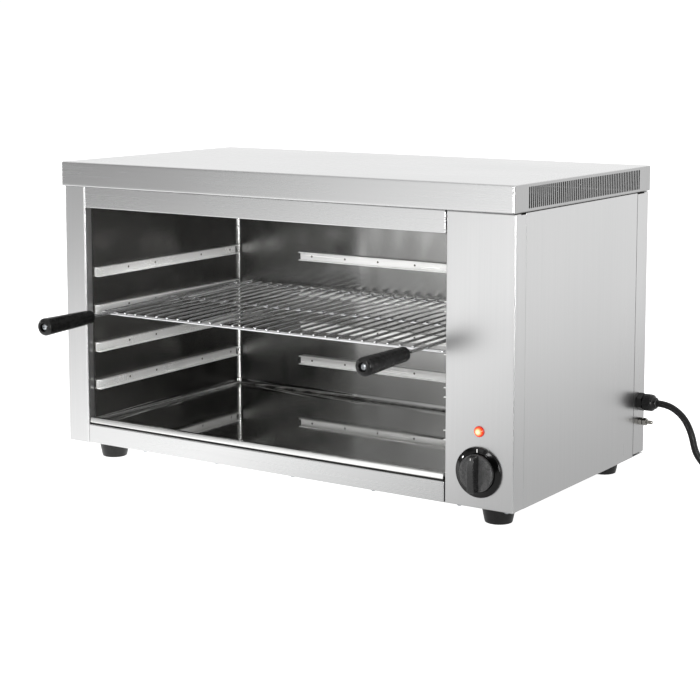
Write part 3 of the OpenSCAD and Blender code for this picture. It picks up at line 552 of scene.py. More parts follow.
# The lamp's housing, a redder plastic that the lamp lights from inside
RED_HOUSING = LitLens(
    "Polycarbonate housing, red", "#C02A18", "#9A1E10", 0.25, (0.8, 0.8, 0.8), relief_mm=0.01,
    cloud_mm=(4, 4, 4), ior=1.58, core="#FF5A24", glow="#E02010", strength=0.25,
)
# Silicone wire sheath
SILICONE = Moulded(
    "Silicone rubber, extruded", "#A93226", "#8C241B", 0.45, (0.8, 0.8, 0.8), relief_mm=0.02,
    cloud_mm=(12, 12, 12), ior=1.42,
)
# Cord sheath: matt black with a soft broad shine along its top
RUBBER_SHEATH = Moulded(
    "Rubber sheath, extruded", "#0A0A0A", "#141413", 0.36, stretched(0.9, 18.0, "x"), grain_rough=0.06,
    relief_mm=0.015, cloud_mm=(20, 20, 20), ior=1.52, shine=0.3,
)
# Feet: black rubber with a soft sheen, a little dusty in its pores
FOOT_RUBBER = Moulded(
    "Rubber, moulded", "#0B0B0B", "#161615", 0.32, (0.8, 0.8, 0.8), grain_rough=0.07, relief_mm=0.02,
    cloud_mm=(9, 9, 9), ior=1.52, shine=0.35, rub="#262625", rub_mm=0.8,
)
# Gland: hard black plastic with small hard highlights on its ribs and painted shade between them
NYLON = Moulded(
    "Nylon, moulded", "#070707", "#101010", 0.2, (0.8, 0.8, 0.8), relief_mm=0.008, cloud_mm=(8, 8, 8),
    ior=1.53, shine=0.35, rub="#222222", rub_mm=0.4, gap_shade=0.8, gap_shade_mm=3.0,
)
# Plug
PVC = Moulded(
    "PVC, moulded", "#101010", "#1A1A1A", 0.36, (0.7, 0.7, 0.7), relief_mm=0.015, cloud_mm=(10, 10, 10),
    ior=1.53, rub="#2E2E2E", rub_mm=0.8,
)
# The tie, a woven tape that hooks onto itself
WOVEN_NYLON = Moulded(
    "Nylon hook tape, woven", "#1C1C1C", "#303030", 0.75, (0.6, 1.2, 0.6), grain_tint=0.8, relief_mm=0.12,
    cloud_mm=(6, 6, 6), ior=1.5,
)
# Bushes and terminal block
CERAMIC = Moulded(
    "Steatite, fired", "#E6DFCE", "#D3CAB6", 0.4, (0.6, 0.6, 0.6), relief_mm=0.02, cloud_mm=(9, 9, 9),
    ior=1.6,
)
# Body of the regulator
THERMOSET = Moulded(
    "Thermoset, moulded", "#2A2A2D", "#3A3A3E", 0.45, (0.7, 0.7, 0.7), relief_mm=0.02, cloud_mm=(12, 12, 12),
    ior=1.6, rub="#55555A",
)


# ---- Mesh making ----


class Plane(Enum):
    """Where a bent sheet's outline lies; it is drawn out along the third axis."""

    XY = Matrix(((1, 0, 0, 0), (0, 1, 0, 0), (0, 0, 1, 0), (0, 0, 0, 1)))
    YZ = Matrix(((0, 0, 1, 0), (1, 0, 0, 0), (0, 1, 0, 0), (0, 0, 0, 1)))
    XZ = Matrix(((1, 0, 0, 0), (0, 0, 1, 0), (0, 1, 0, 0), (0, 0, 0, 1)))


def facing(at: Vector, right: Vector, up: Vector) -> Matrix:
    """Gives the place of a pan: its face looks out of the page and its folds go in.

    Args:
        at: The pan's origin, on its face.
        right: Direction of the face's first axis.
        up: Direction of the face's second axis.

    Returns:
        A matrix that takes (right, up, depth into the pan) into the part's frame.
    """
    inward = up.cross(right)
    turn = Matrix((right, up, inward)).transposed().to_4x4()
    return Matrix.Translation(at) @ turn


def pointing(at: Sequence[float], axis: Sequence[float]) -> Matrix:
    """Gives the place of a turned piece.

    Args:
        at: Where its own origin goes.
        axis: Where its own +Z points.

    Returns:
        The matrix.
    """
    return Matrix.Translation(Vector(at)) @ Vector(axis).to_track_quat("Z", "Y").to_matrix().to_4x4()


def rounded_line(
    corners: Sequence[Vector], radius: float, steps: int = 5, closed: bool = False
) -> list[Vector]:
    """Rounds the corners of a line.

    Args:
        corners: Its corners, in two or three dimensions.
        radius: Radius at every inner corner.
        steps: Straight pieces in each bend.
        closed: Whether the last corner joins the first.

    Returns:
        The points of the rounded line.
    """
    points = []
    last = len(corners) - 1
    for i, corner in enumerate(corners):
        if not closed and i in (0, last):
            points.append(corner.copy())
            continue
        before = (corners[i - 1] - corner).normalized()
        after = (corners[(i + 1) % (last + 1)] - corner).normalized()
        half = before.angle(after) / 2
        centre = corner + (before + after).normalized() * radius / math.sin(half)
        start = corner + before * radius / math.tan(half) - centre
        end = corner + after * radius / math.tan(half) - centre
        sweep = start.angle(end)
        for k in range(steps + 1):
            t = k / steps
            turned = math.sin((1 - t) * sweep) * start + math.sin(t * sweep) * end
            points.append(centre + turned / math.sin(sweep))
    return points


def beside(line: Sequence[Vector], distance: float) -> list[Vector]:
    """Gives the line that runs to the left of a flat line.

    Args:
        line: Its points, in two dimensions.
        distance: How far to the left.

    Returns:
        The new line's points.
    """
    moved = []
    for i, point in enumerate(line):
        steps = []
        if i > 0:
            steps.append((point - line[i - 1]).normalized())
        if i < len(line) - 1:
            steps.append((line[i + 1] - point).normalized())
        normals = [Vector((-step.y, step.x)) for step in steps]
        mitre = sum(normals, Vector((0, 0))).normalized()
        moved.append(point + mitre * distance / max(mitre.dot(normals[0]), 0.2))
    return moved


def arc(
    centre: Sequence[float], radius: float, start: float, end: float, steps: int
) -> list[tuple[float, float]]:
    """Gives points along an arc.

    Args:
        centre: Its centre.
        radius: Its radius.
        start: First angle, in degrees.
        end: Last angle, in degrees.
        steps: Straight pieces in it.

    Returns:
        The points.
    """
    angles = [math.radians(start + (end - start) * k / steps) for k in range(steps + 1)]
    return [(centre[0] + radius * math.cos(a), centre[1] + radius * math.sin(a)) for a in angles]


class Shape:
    """A mesh in the making, in millimetres."""

    def __init__(self) -> None:
        """Starts with nothing in it."""
        self.mesh = bmesh.new()

    def skin(self, rows: Sequence[Sequence[Vector]], around: bool = False, along: bool = False) -> None:
        """Joins rows of points into a surface.

        Args:
            rows: The rows, each with as many points.
            around: Whether each row closes on itself.
            along: Whether the last row joins the first.
        """
        verts = [[self.mesh.verts.new(point) for point in row] for row in rows]
        count, wide = len(verts), len(verts[0])
        for i in range(count if along else count - 1):
            here, there = verts[i], verts[(i + 1) % count]
            for k in range(wide if around else wide - 1):
                after = (k + 1) % wide
                self.mesh.faces.new((here[k], here[after], there[after], there[k]))

    def lathe(
        self, profile: Sequence[Sequence[float]], place: Matrix, segments: int = 64, closed: bool = False,
        reach: Callable[[float, float, float], float] | None = None,
    ) -> None:
        """Turns a profile round +Z.

        Args:
            profile: Radius and height of each point.
            place: Where the turned piece goes.
            segments: Sides of the turned piece.
            closed: Whether the profile is a closed ring.
            reach: Gives the radius from the profile's radius, its height and the angle, for ribs and flats.
        """
        rows = []
        for radius, height in profile:
            row = []
            for k in range(segments):
                angle = 2 * math.pi * k / segments
                r = reach(radius, height, angle) if reach else radius
                row.append(place @ Vector((r * math.cos(angle), r * math.sin(angle), height)))
            rows.append(row)
        self.skin(rows, around=True, along=closed)

    def hex_nut(self, place: Matrix, radius: float, height: float, bore: float) -> None:
        """Makes a hexagonal nut with chamfered corners.

        Args:
            place: Where its lower face goes.
            radius: Radius over its corners.
            height: Its height.
            bore: Radius of its bore.
        """
        flat = radius * math.cos(math.pi / 6)
        slope = math.tan(math.radians(28))
        segments = 48
        rows: list[list[Vector]] = [[] for _ in range(6)]
        for k in range(segments):
            angle = 2 * math.pi * k / segments
            hexagon = flat / math.cos((angle + math.pi / 6) % (math.pi / 3) - math.pi / 6)
            fall = (hexagon - flat + 0.2) * slope
            ring = [
                (bore, 0), (flat - 0.2, 0), (hexagon, fall), (hexagon, height - fall), (flat - 0.2, height),
                (bore, height),
            ]
            for row, (r, h) in zip(rows, ring):
                row.append(place @ Vector((r * math.cos(angle), r * math.sin(angle), h)))
        self.skin(rows, around=True, along=True)

    def tube(
        self, path: Sequence[Vector], radius: float, sides: int = 16, closed: bool = False, edge: float = 0.4
    ) -> None:
        """Runs a round rod along a path.

        Args:
            path: The points of its centre line.
            radius: Its radius.
            sides: Sides of the rod.
            closed: Whether the path closes on itself.
            edge: Radius of the edge at each end.
        """
        count = len(path)
        aims = []
        for i in range(count):
            before = path[(i - 1) % count] if closed or i else path[0]
            after = path[(i + 1) % count] if closed or i < count - 1 else path[-1]
            aims.append((after - before).normalized())
        side = aims[0].orthogonal().normalized()
        rings = []
        for i in range(count):
            if i:
                side = aims[i - 1].rotation_difference(aims[i]) @ side
            rings.append((path[i], radius, side, aims[i].cross(side)))
        if not closed:
            turns = [math.radians(90 * k / 4) for k in range(5)]
            caps = [(0.0, 0.0)] + [
                (edge * (1 - math.cos(a)), radius - edge + edge * math.sin(a)) for a in turns
            ]
            first, last = rings[0], rings[-1]
            head = [(path[0] + aims[0] * step, r, first[2], first[3]) for step, r in caps]
            tail = [(path[-1] - aims[-1] * step, r, last[2], last[3]) for step, r in reversed(caps)]
            rings = head + rings[1:-1] + tail
        rows = []
        for centre, r, u, v in rings:
            angles = [2 * math.pi * k / sides for k in range(sides)]
            rows.append([centre + r * (math.cos(a) * u + math.sin(a) * v) for a in angles])
        self.skin(rows, around=True, along=closed)

    def fold(
        self, line: Sequence[Vector], plane: Plane, span: tuple[float, float], thickness: float = SHEET
    ) -> None:
        """Makes a bent sheet.

        Args:
            line: Its face, seen end on, with its bends rounded; the sheet's thickness lies to its left.
            plane: The plane that the line lies in.
            span: Where the sheet starts and ends along the third axis.
            thickness: Thickness of the sheet, negative for one that lies to the right.
        """
        back = beside(line, thickness)
        outline = list(line) + back[::-1]
        rows = [[plane.value @ Vector((p.x, p.y, w)) for p in outline] for w in span]
        self.skin(rows, around=True)
        for w in span:
            self.skin([[plane.value @ Vector((p.x, p.y, w)) for p in side] for side in (line, back)])

    def pan(
        self, place: Matrix, width: float, height: float, depths: Sequence[float], radius: float = BEND,
        thickness: float = SHEET,
    ) -> None:
        """Makes a sheet with its four edges folded back.

        Args:
            place: Where its lower left corner goes, from facing().
            width: Width of the face.
            height: Height of the face.
            depths: Depth of the left, right, bottom and top fold.
            radius: Outer radius of the folds.
            thickness: Thickness of the sheet.
        """
        box = Shape()
        joined = min(depths)
        low = [box.mesh.verts.new(p) for p in ((0, 0, 0), (width, 0, 0), (width, height, 0), (0, height, 0))]
        back = [box.mesh.verts.new((v.co.x, v.co.y, joined)) for v in low]
        box.mesh.faces.new(low)
        for k in range(4):
            after = (k + 1) % 4
            box.mesh.faces.new((low[k], low[after], back[after], back[k]))
        edges = [edge for edge in box.mesh.edges if len(edge.link_faces) == 2]
        bmesh.ops.bevel(
            box.mesh, geom=edges, offset=radius, segments=4, profile=0.5, affect="EDGES", clamp_overlap=False
        )
        sides = ((0, 0.0), (0, width), (1, 0.0), (1, height))
        for depth, (axis, value) in zip(depths, sides):
            if depth <= joined + 1e-6:
                continue
            rim = [
                edge for edge in box.mesh.edges if len(edge.link_faces) == 1
                and all(abs(v.co[axis] - value) < 1e-4 and abs(v.co.z - joined) < 1e-4 for v in edge.verts)
            ]
            grown = bmesh.ops.extrude_edge_only(box.mesh, edges=rim)["geom"]
            for vert in grown:
                if isinstance(vert, bmesh.types.BMVert):
                    vert.co.z = depth
        bmesh.ops.recalc_face_normals(box.mesh, faces=box.mesh.faces)
        face = max(box.mesh.faces, key=lambda f: f.calc_area())
        if face.normal.z > 0:
            bmesh.ops.reverse_faces(box.mesh, faces=box.mesh.faces)
        bmesh.ops.solidify(box.mesh, geom=box.mesh.faces[:], thickness=thickness)
        self.stamp(box, place)

    def block(self, low: Sequence[float], high: Sequence[float], radius: float = 0.0, steps: int = 3) -> None:
        """Makes a box between two corners with rounded edges.

        Args:
            low: Its lowest corner.
            high: Its highest corner.
            radius: Radius of its edges.
            steps: Straight pieces in each edge.
        """
        low, high = Vector(low), Vector(high)
        size = high - low
        place = Matrix.Translation((low + high) / 2) @ Matrix.Diagonal((*size, 1))
        made = bmesh.ops.create_cube(self.mesh, size=1.0, matrix=place)
        if radius:
            edges = list({edge for vert in made["verts"] for edge in vert.link_edges})
            bmesh.ops.bevel(
                self.mesh, geom=edges, offset=radius, segments=steps, profile=0.5, affect="EDGES",
                clamp_overlap=True,
            )

    def blob(self, at: Vector, radii: Sequence[float], turn: Matrix | None = None) -> None:
        """Makes a weld bead or another small round lump.

        Args:
            at: Its centre.
            radii: Its radii along X, Y and Z.
            turn: How it is turned.
        """
        place = Matrix.Translation(at) @ (turn or Matrix.Identity(4)) @ Matrix.Diagonal((*radii, 1))
        bmesh.ops.create_uvsphere(self.mesh, u_segments=10, v_segments=6, radius=1.0, matrix=place)

    def stamp(self, other: "Shape", place: Matrix) -> None:
        """Copies another shape into this one.

        Args:
            other: The shape to copy.
            place: Where the copy goes.
        """
        data = bpy.data.meshes.new("stamp")
        other.mesh.to_mesh(data)
        data.transform(place)
        self.mesh.from_mesh(data)
        bpy.data.meshes.remove(data)

    def cut(self, tool: "Shape") -> None:
        """Cuts another shape's solid out of this one.

        Args:
            tool: The closed shape that is taken away.
        """
        made = []
        for shape in (self, tool):
            bmesh.ops.remove_doubles(shape.mesh, verts=shape.mesh.verts, dist=1e-3)
            bmesh.ops.recalc_face_normals(shape.mesh, faces=shape.mesh.faces)
            data = bpy.data.meshes.new("cut")
            shape.mesh.to_mesh(data)
            item = bpy.data.objects.new("cut", data)
            bpy.context.scene.collection.objects.link(item)
            made.append(item)
        modifier = made[0].modifiers.new("cut", "BOOLEAN")
        modifier.object = made[1]
        modifier.operation = "DIFFERENCE"
        modifier.solver = "EXACT"
        graph = bpy.context.evaluated_depsgraph_get()
        result = made[0].evaluated_get(graph)
        self.mesh.free()
        self.mesh = bmesh.new()
        self.mesh.from_mesh(result.to_mesh())
        result.to_mesh_clear()
        for item in made:
            data = item.data
            bpy.data.objects.remove(item)
            bpy.data.meshes.remove(data)

    def piece(
        self, name: str, finish: Finish, body: str, replaces: Iterable[str] = (), even: bool = True
    ) -> bpy.types.Object:
        """Finishes the mesh as a piece of the object.

        Args:
            name: The piece's name.
            finish: Its finish.
            body: The CAD body that it rides on.
            replaces: The CAD nodes that it stands for.
            even: Whether its flat faces keep their shading up to the folds.

        Returns:
            The piece.
        """
        bmesh.ops.remove_doubles(self.mesh, verts=self.mesh.verts, dist=1e-3)
        bmesh.ops.recalc_face_normals(self.mesh, faces=self.mesh.faces)
        for edge in self.mesh.edges:
            edge.smooth = len(edge.link_faces) == 2 and edge.calc_face_angle(0) < SHARP_ANGLE
        for face in self.mesh.faces:
            face.smooth = True
        bmesh.ops.scale(self.mesh, vec=(MM,) * 3, verts=self.mesh.verts)
        data = bpy.data.meshes.new(name)
        self.mesh.to_mesh(data)
        self.mesh.free()
        data.materials.append(finish.material())
        item = bpy.data.objects.new(name, data)
        bpy.context.scene.collection.objects.link(item)
        if even:
            shading = item.modifiers.new("even_shading", "WEIGHTED_NORMAL")
            shading.keep_sharp = True
            shading.weight = 100
        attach(item, body)
        if replaces:
            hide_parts(*replaces)
        LOG.info("%s: %d faces", name, len(data.polygons))
        return item


def dress(node: str, finish: Finish, edge_mm: float = 0.0, sheet_axis: int | None = None) -> None:
    """Gives a CAD node its finish and, where it has sharp sheet edges, a small rounding.

    Args:
        node: Name of the CAD node.
        finish: Its finish.
        edge_mm: Radius of the rounding.
        sheet_axis: The axis that a flat sheet faces, whose other faces are its sheared edges.
    """
    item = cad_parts[node]
    item.data.materials.clear()
    item.data.materials.append(finish.material())
    if sheet_axis is not None:
        item.data.materials.append(SHEARED_EDGE.material())
        for face in item.data.polygons:
            face.material_index = 0 if abs(face.normal[sheet_axis]) > 0.5 else 1
    if edge_mm:
        weld = item.modifiers.new("weld", "WELD")
        weld.merge_threshold = 1e-6
        bevel = item.modifiers.new("edges", "BEVEL")
        bevel.width = edge_mm * MM
        bevel.segments = 2
        bevel.limit_method = "ANGLE"
        bevel.harden_normals = True
    LOG.info("%s dressed", node)


def pan_screw(head_d: float, head_h: float, shank_d: float, length: float) -> Shape:
    """Makes a pan-head screw with a cross recess, pointing along +Z with its head below.

    Args:
        head_d: Diameter of the head.
        head_h: Height of the head.
        shank_d: Diameter of the shank.
        length: Length under the head.

    Returns:
        The screw.
    """
    r = head_d / 2
    dome = [(0, -head_h), (r * 0.45, -head_h * 0.97), (r * 0.72, -head_h * 0.84), (r * 0.9, -head_h * 0.6)]
    rim = [(r, -head_h * 0.3), (r, -0.08), (r - 0.1, 0), (shank_d / 2, 0)]
    threads = []
    pitch = 0.8
    for k in range(int((length - 1.5) / pitch)):
        z = 0.5 + k * pitch
        threads += [(shank_d / 2 * 0.82, z), (shank_d / 2, z + pitch / 2)]
    point = [(shank_d / 2 * 0.6, length - 0.6), (0, length)]
    screw = Shape()
    screw.lathe(dome + rim + threads + point, Matrix.Identity(4), 32)
    arm, wide, deep = head_d * 0.29, head_d * 0.07, head_h * 0.62
    for long, short in ((arm, wide), (wide, arm)):
        cross = Shape()
        cross.block((-long, -short, -head_h - 1), (long, short, -head_h + deep))
        for vert in cross.mesh.verts:
            if vert.co.z > -head_h:
                vert.co.x *= 0.7
                vert.co.y *= 0.7
        screw.cut(cross)
    return screw


# ---- Studio ----


FLOOR_M = 60       # side of the floor


@dataclass
class Studio:
    """Camera, floor, softbox and surroundings.

    Attributes:
        camera_at: The camera's place, in metres.
        camera_turn: Its turn about +Z, in radians.
        camera_dip: How far it looks down, in radians.
        lens_mm: Focal length.
        sensor_mm: Width of the sensor.
        shift_y: Upward shift of the picture.
    """

    camera_at: tuple[float, float, float] = (1.47429, -2.16490, 0.66005)
    camera_turn: float = 0.58768
    camera_dip: float = 0.11933
    lens_mm: float = 89.978
    sensor_mm: float = 36.0
    shift_y: float = -0.15

    def build_camera(self) -> None:
        """Makes the camera and gives it to the scene."""
        data = bpy.data.cameras.new("camera")
        data.lens = self.lens_mm
        data.sensor_width = self.sensor_mm
        data.shift_y = self.shift_y
        data.clip_end = 200
        camera = bpy.data.objects.new("camera", data)
        camera.location = self.camera_at
        camera.rotation_euler = (math.pi / 2 - self.camera_dip, 0, self.camera_turn)
        bpy.context.scene.collection.objects.link(camera)
        bpy.context.scene.camera = camera
        bpy.context.scene.view_settings.view_transform = "Standard"

    def build_world(self) -> None:
        """Surrounds the object with white for the camera and a soft studio for its reflections."""
        world = bpy.data.worlds.new("studio")
        bpy.context.scene.world = world
        tree = empty_tree(world)
        mix = MixInputs.NUMBERS.take
        x, y, z = add_node(tree, "SeparateXYZ", (add_node(tree, "TexCoord").outputs["Generated"],)).outputs
        front = add_node(tree, "MapRange", (x, -0.35, 0.1, 0.36, 0.015), **SMOOTH)
        # A white wall far to the right lights the folds that face it
        wall = add_node(tree, "MapRange", (x, 0.74, 0.86, 0.0, 1.0), **SMOOTH)
        front = add_node(tree, "Mix", mix(wall, front, 1.3))
        back = add_node(tree, "MapRange", (x, -0.3, 0.2, 1.08, 0.98), **SMOOTH)
        behind = add_node(tree, "MapRange", (y, -0.2, 0.25, 0.0, 1.0), **SMOOTH)
        sides = add_node(tree, "Mix", mix(behind, front, back))
        above = add_node(tree, "MapRange", (z, 0.4, 0.8, 0.0, 1.0), **SMOOTH)
        level = add_node(tree, "Mix", mix(above, sides, 0.85))
        seen = add_node(tree, "LightPath").outputs["Is Camera Ray"]
        strength = add_node(tree, "Mix", mix(seen, level, 1.05))
        background = add_node(tree, "Background", ((1, 1, 1, 1), strength))
        add_node(tree, "OutputWorld", (background,))

    def build_floor(self) -> None:
        """Lays a pale floor: lit and softly shaded for the camera, and a studio floor for the reflections."""
        material = bpy.data.materials.new("Floor, painted")
        tree = empty_tree(material)
        mix = MixInputs.NUMBERS.take
        spot = add_node(tree, "NewGeometry").outputs["Position"]
        x, y, _ = add_node(tree, "SeparateXYZ", (spot,)).outputs
        # The light pool in front runs away to the front left, so its brightness follows a slanted line
        slant = add_node(tree, "Math", (y, -0.27, 0.3), operation="MULTIPLY_ADD")
        across = add_node(tree, "Math", (x, slant), operation="ADD")
        left = add_node(tree, "MapRange", (across, -2.2, 0.05, 0.22, 1.4))
        right = add_node(tree, "MapRange", (across, 0.14, 0.68, 1.0, 0.44))
        near = add_node(tree, "MapRange", (y, -2.0, -0.6, 1.12, 1.0), **SMOOTH)
        front = add_node(tree, "Math", (left, right), operation="MULTIPLY")
        front = add_node(tree, "Math", (front, near), operation="MULTIPLY")
        dark = add_node(tree, "MapRange", (x, 0.45, 0.9, 0.0, 1.0), **SMOOTH)
        front = add_node(tree, "Mix", mix(dark, front, 0.02))
        behind = add_node(tree, "MapRange", (x, 0.4, 1.3, 0.58, 1.0), **SMOOTH)
        beside_it = add_node(tree, "MapRange", (x, 0.0, 0.4, 0.0, 1.0), **SMOOTH)
        behind = add_node(tree, "Mix", mix(beside_it, 0.95, behind))
        back = add_node(tree, "MapRange", (y, -0.15, 0.1, 0.0, 1.0), **SMOOTH)
        level = add_node(tree, "Mix", mix(back, front, behind))
        # Dull surfaces gather more of the floor's light than the mirrors show
        dull = add_node(tree, "LightPath").outputs["Is Diffuse Ray"]
        gathered = add_node(tree, "Mix", mix(dull, 1.0, 2.6))
        level = add_node(tree, "Math", (level, gathered), operation="MULTIPLY")
        mirrored = add_node(tree, "Emission", {"Strength": level})
        lit = add_node(tree, "BsdfDiffuse", {"Color": (0.8, 0.8, 0.8, 1)})
        glow = add_node(tree, "Emission", {"Strength": 0.86})
        shown = add_node(tree, "AddShader", (lit, glow))
        seen = add_node(tree, "LightPath").outputs["Is Camera Ray"]
        both = add_node(tree, "MixShader", (seen, mirrored, shown))
        add_node(tree, "OutputMaterial", (both,))
        self.add_panel("floor", Matrix.Scale(FLOOR_M, 4), material)

    def add_panel(self, name: str, place: Matrix, material: bpy.types.Material) -> bpy.types.Object:
        """Adds a staged square.

        Args:
            name: Its name.
            place: Where a square metre goes.
            material: Its material.

        Returns:
            The panel.
        """
        data = bpy.data.meshes.new(name)
        corners = [place @ Vector((u, v, 0)) for u, v in ((-0.5, -0.5), (0.5, -0.5), (0.5, 0.5), (-0.5, 0.5))]
        data.from_pydata(corners, [], [(0, 1, 2, 3)])
        data.materials.append(material)
        item = bpy.data.objects.new(name, data)
        bpy.context.scene.collection.objects.link(item)
        return item

    def light(
        self, name: str, strength: float, at: Sequence[float], aim: Sequence[float], size: Sequence[float]
    ) -> bpy.types.Object:
        """Hangs a softbox that no camera sees.

        Args:
            name: Its name.
            strength: Its brightness.
            at: Its middle, in metres.
            aim: Direction that it shines in.
            size: Its width and height.

        Returns:
            The softbox.
        """
        fabric = bpy.data.materials.new(name)
        tree = empty_tree(fabric)
        add_node(tree, "OutputMaterial", (add_node(tree, "Emission", {"Strength": strength}),))
        turn = Vector(aim).to_track_quat("Z", "Y").to_matrix().to_4x4()
        place = Matrix.Translation(at) @ turn @ Matrix.Diagonal((*size, 1, 1))
        panel = self.add_panel(name, place, fabric)
        panel.visible_camera = False
        return panel

    def build_softboxes(self) -> None:
        """Stands a wide softbox at the front left, fading to its left, and small strong lights all round."""
        fabric = bpy.data.materials.new("Softbox fabric")
        tree = empty_tree(fabric)
        spot = add_node(tree, "NewGeometry").outputs["Position"]
        x, _, z = add_node(tree, "SeparateXYZ", (spot,)).outputs
        along = add_node(tree, "MapRange", (x, -2.9, -0.55, 0.23, 1.3))
        falloff = add_node(tree, "MapRange", (x, -2.0, -1.2, 0.5, 1.04))
        upwards = add_node(tree, "MapRange", (z, 0.02, 0.3, 1.1, 0.86), **SMOOTH)
        level = add_node(tree, "Math", (along, falloff), operation="MULTIPLY")
        level = add_node(tree, "Math", (level, upwards), operation="MULTIPLY")
        add_node(tree, "OutputMaterial", (add_node(tree, "Emission", {"Strength": level}),))
        upright = Matrix.Rotation(math.radians(-90), 4, "X")
        place = Matrix.Translation((-1.65, -2.5, 0.95)) @ upright @ Matrix.Diagonal((2.5, 1.84, 1, 1))
        self.add_panel("softbox", place, fabric).visible_camera = False
        # Small and strong, for hard highlights on black plastic, bends and plated metal
        self.light("left_light", 38.0, (-2.48, -1.04, 0.62), (0.938, 0.294, -0.182), (0.27, 0.27))
        self.light("right_light", 20.0, (1.65, -1.05, 0.3), (-0.82, 0.55, -0.1), (0.3, 0.5))
        self.light("front_light", 10.0, (0.2, -2.0, 0.62), (0, 1, 0), (0.22, 1.2))
        # A strip under the cavity's ceiling, which only wires and bends mirror towards the front
        low, high = node_box("cavity_ceiling")
        middle = ((low.x + high.x) / 2 * MM, (low.y + high.y) / 2 * MM + 0.03, low.z * MM - 0.004)
        self.light("cavity_light", 0.3, middle, (0, 0, -1), (0.6, 0.24))
        # Behind the lintel, aimed at the back: it lights what is dull, such as the rails; no sheet mirrors it
        behind = (middle[0], low.y * MM + 0.03, low.z * MM - 0.02)
        self.light("rail_light", 20.0, behind, (0, 1, -0.45), (0.5, 0.035)).visible_glossy = False

    def build(self) -> None:
        """Builds the whole studio."""
        self.build_camera()
        self.build_world()
        self.build_floor()
        self.build_softboxes()
        LOG.info("studio built")


# ---- Cord ----


@dataclass(frozen=True)
class HalfTurn:
    """Half a turn of the coil.

    Attributes:
        radii: Radius before and after its move.
        heights: Height before and after its move.
        move: Where the move takes place, as shares of the half turn.
    """

    radii: tuple[float, float]
    heights: tuple[float, float]
    move: tuple[float, float] = (0.5, 1.0)


def eased(t: float, start: float, end: float) -> float:
    """Gives a smooth step.

    Args:
        t: Where along the way.
        start: Where the step starts.
        end: Where it ends.

    Returns:
        0 before the start, 1 after the end.
    """
    u = min(max((t - start) / (end - start), 0.0), 1.0)
    return u * u * (3 - 2 * u)


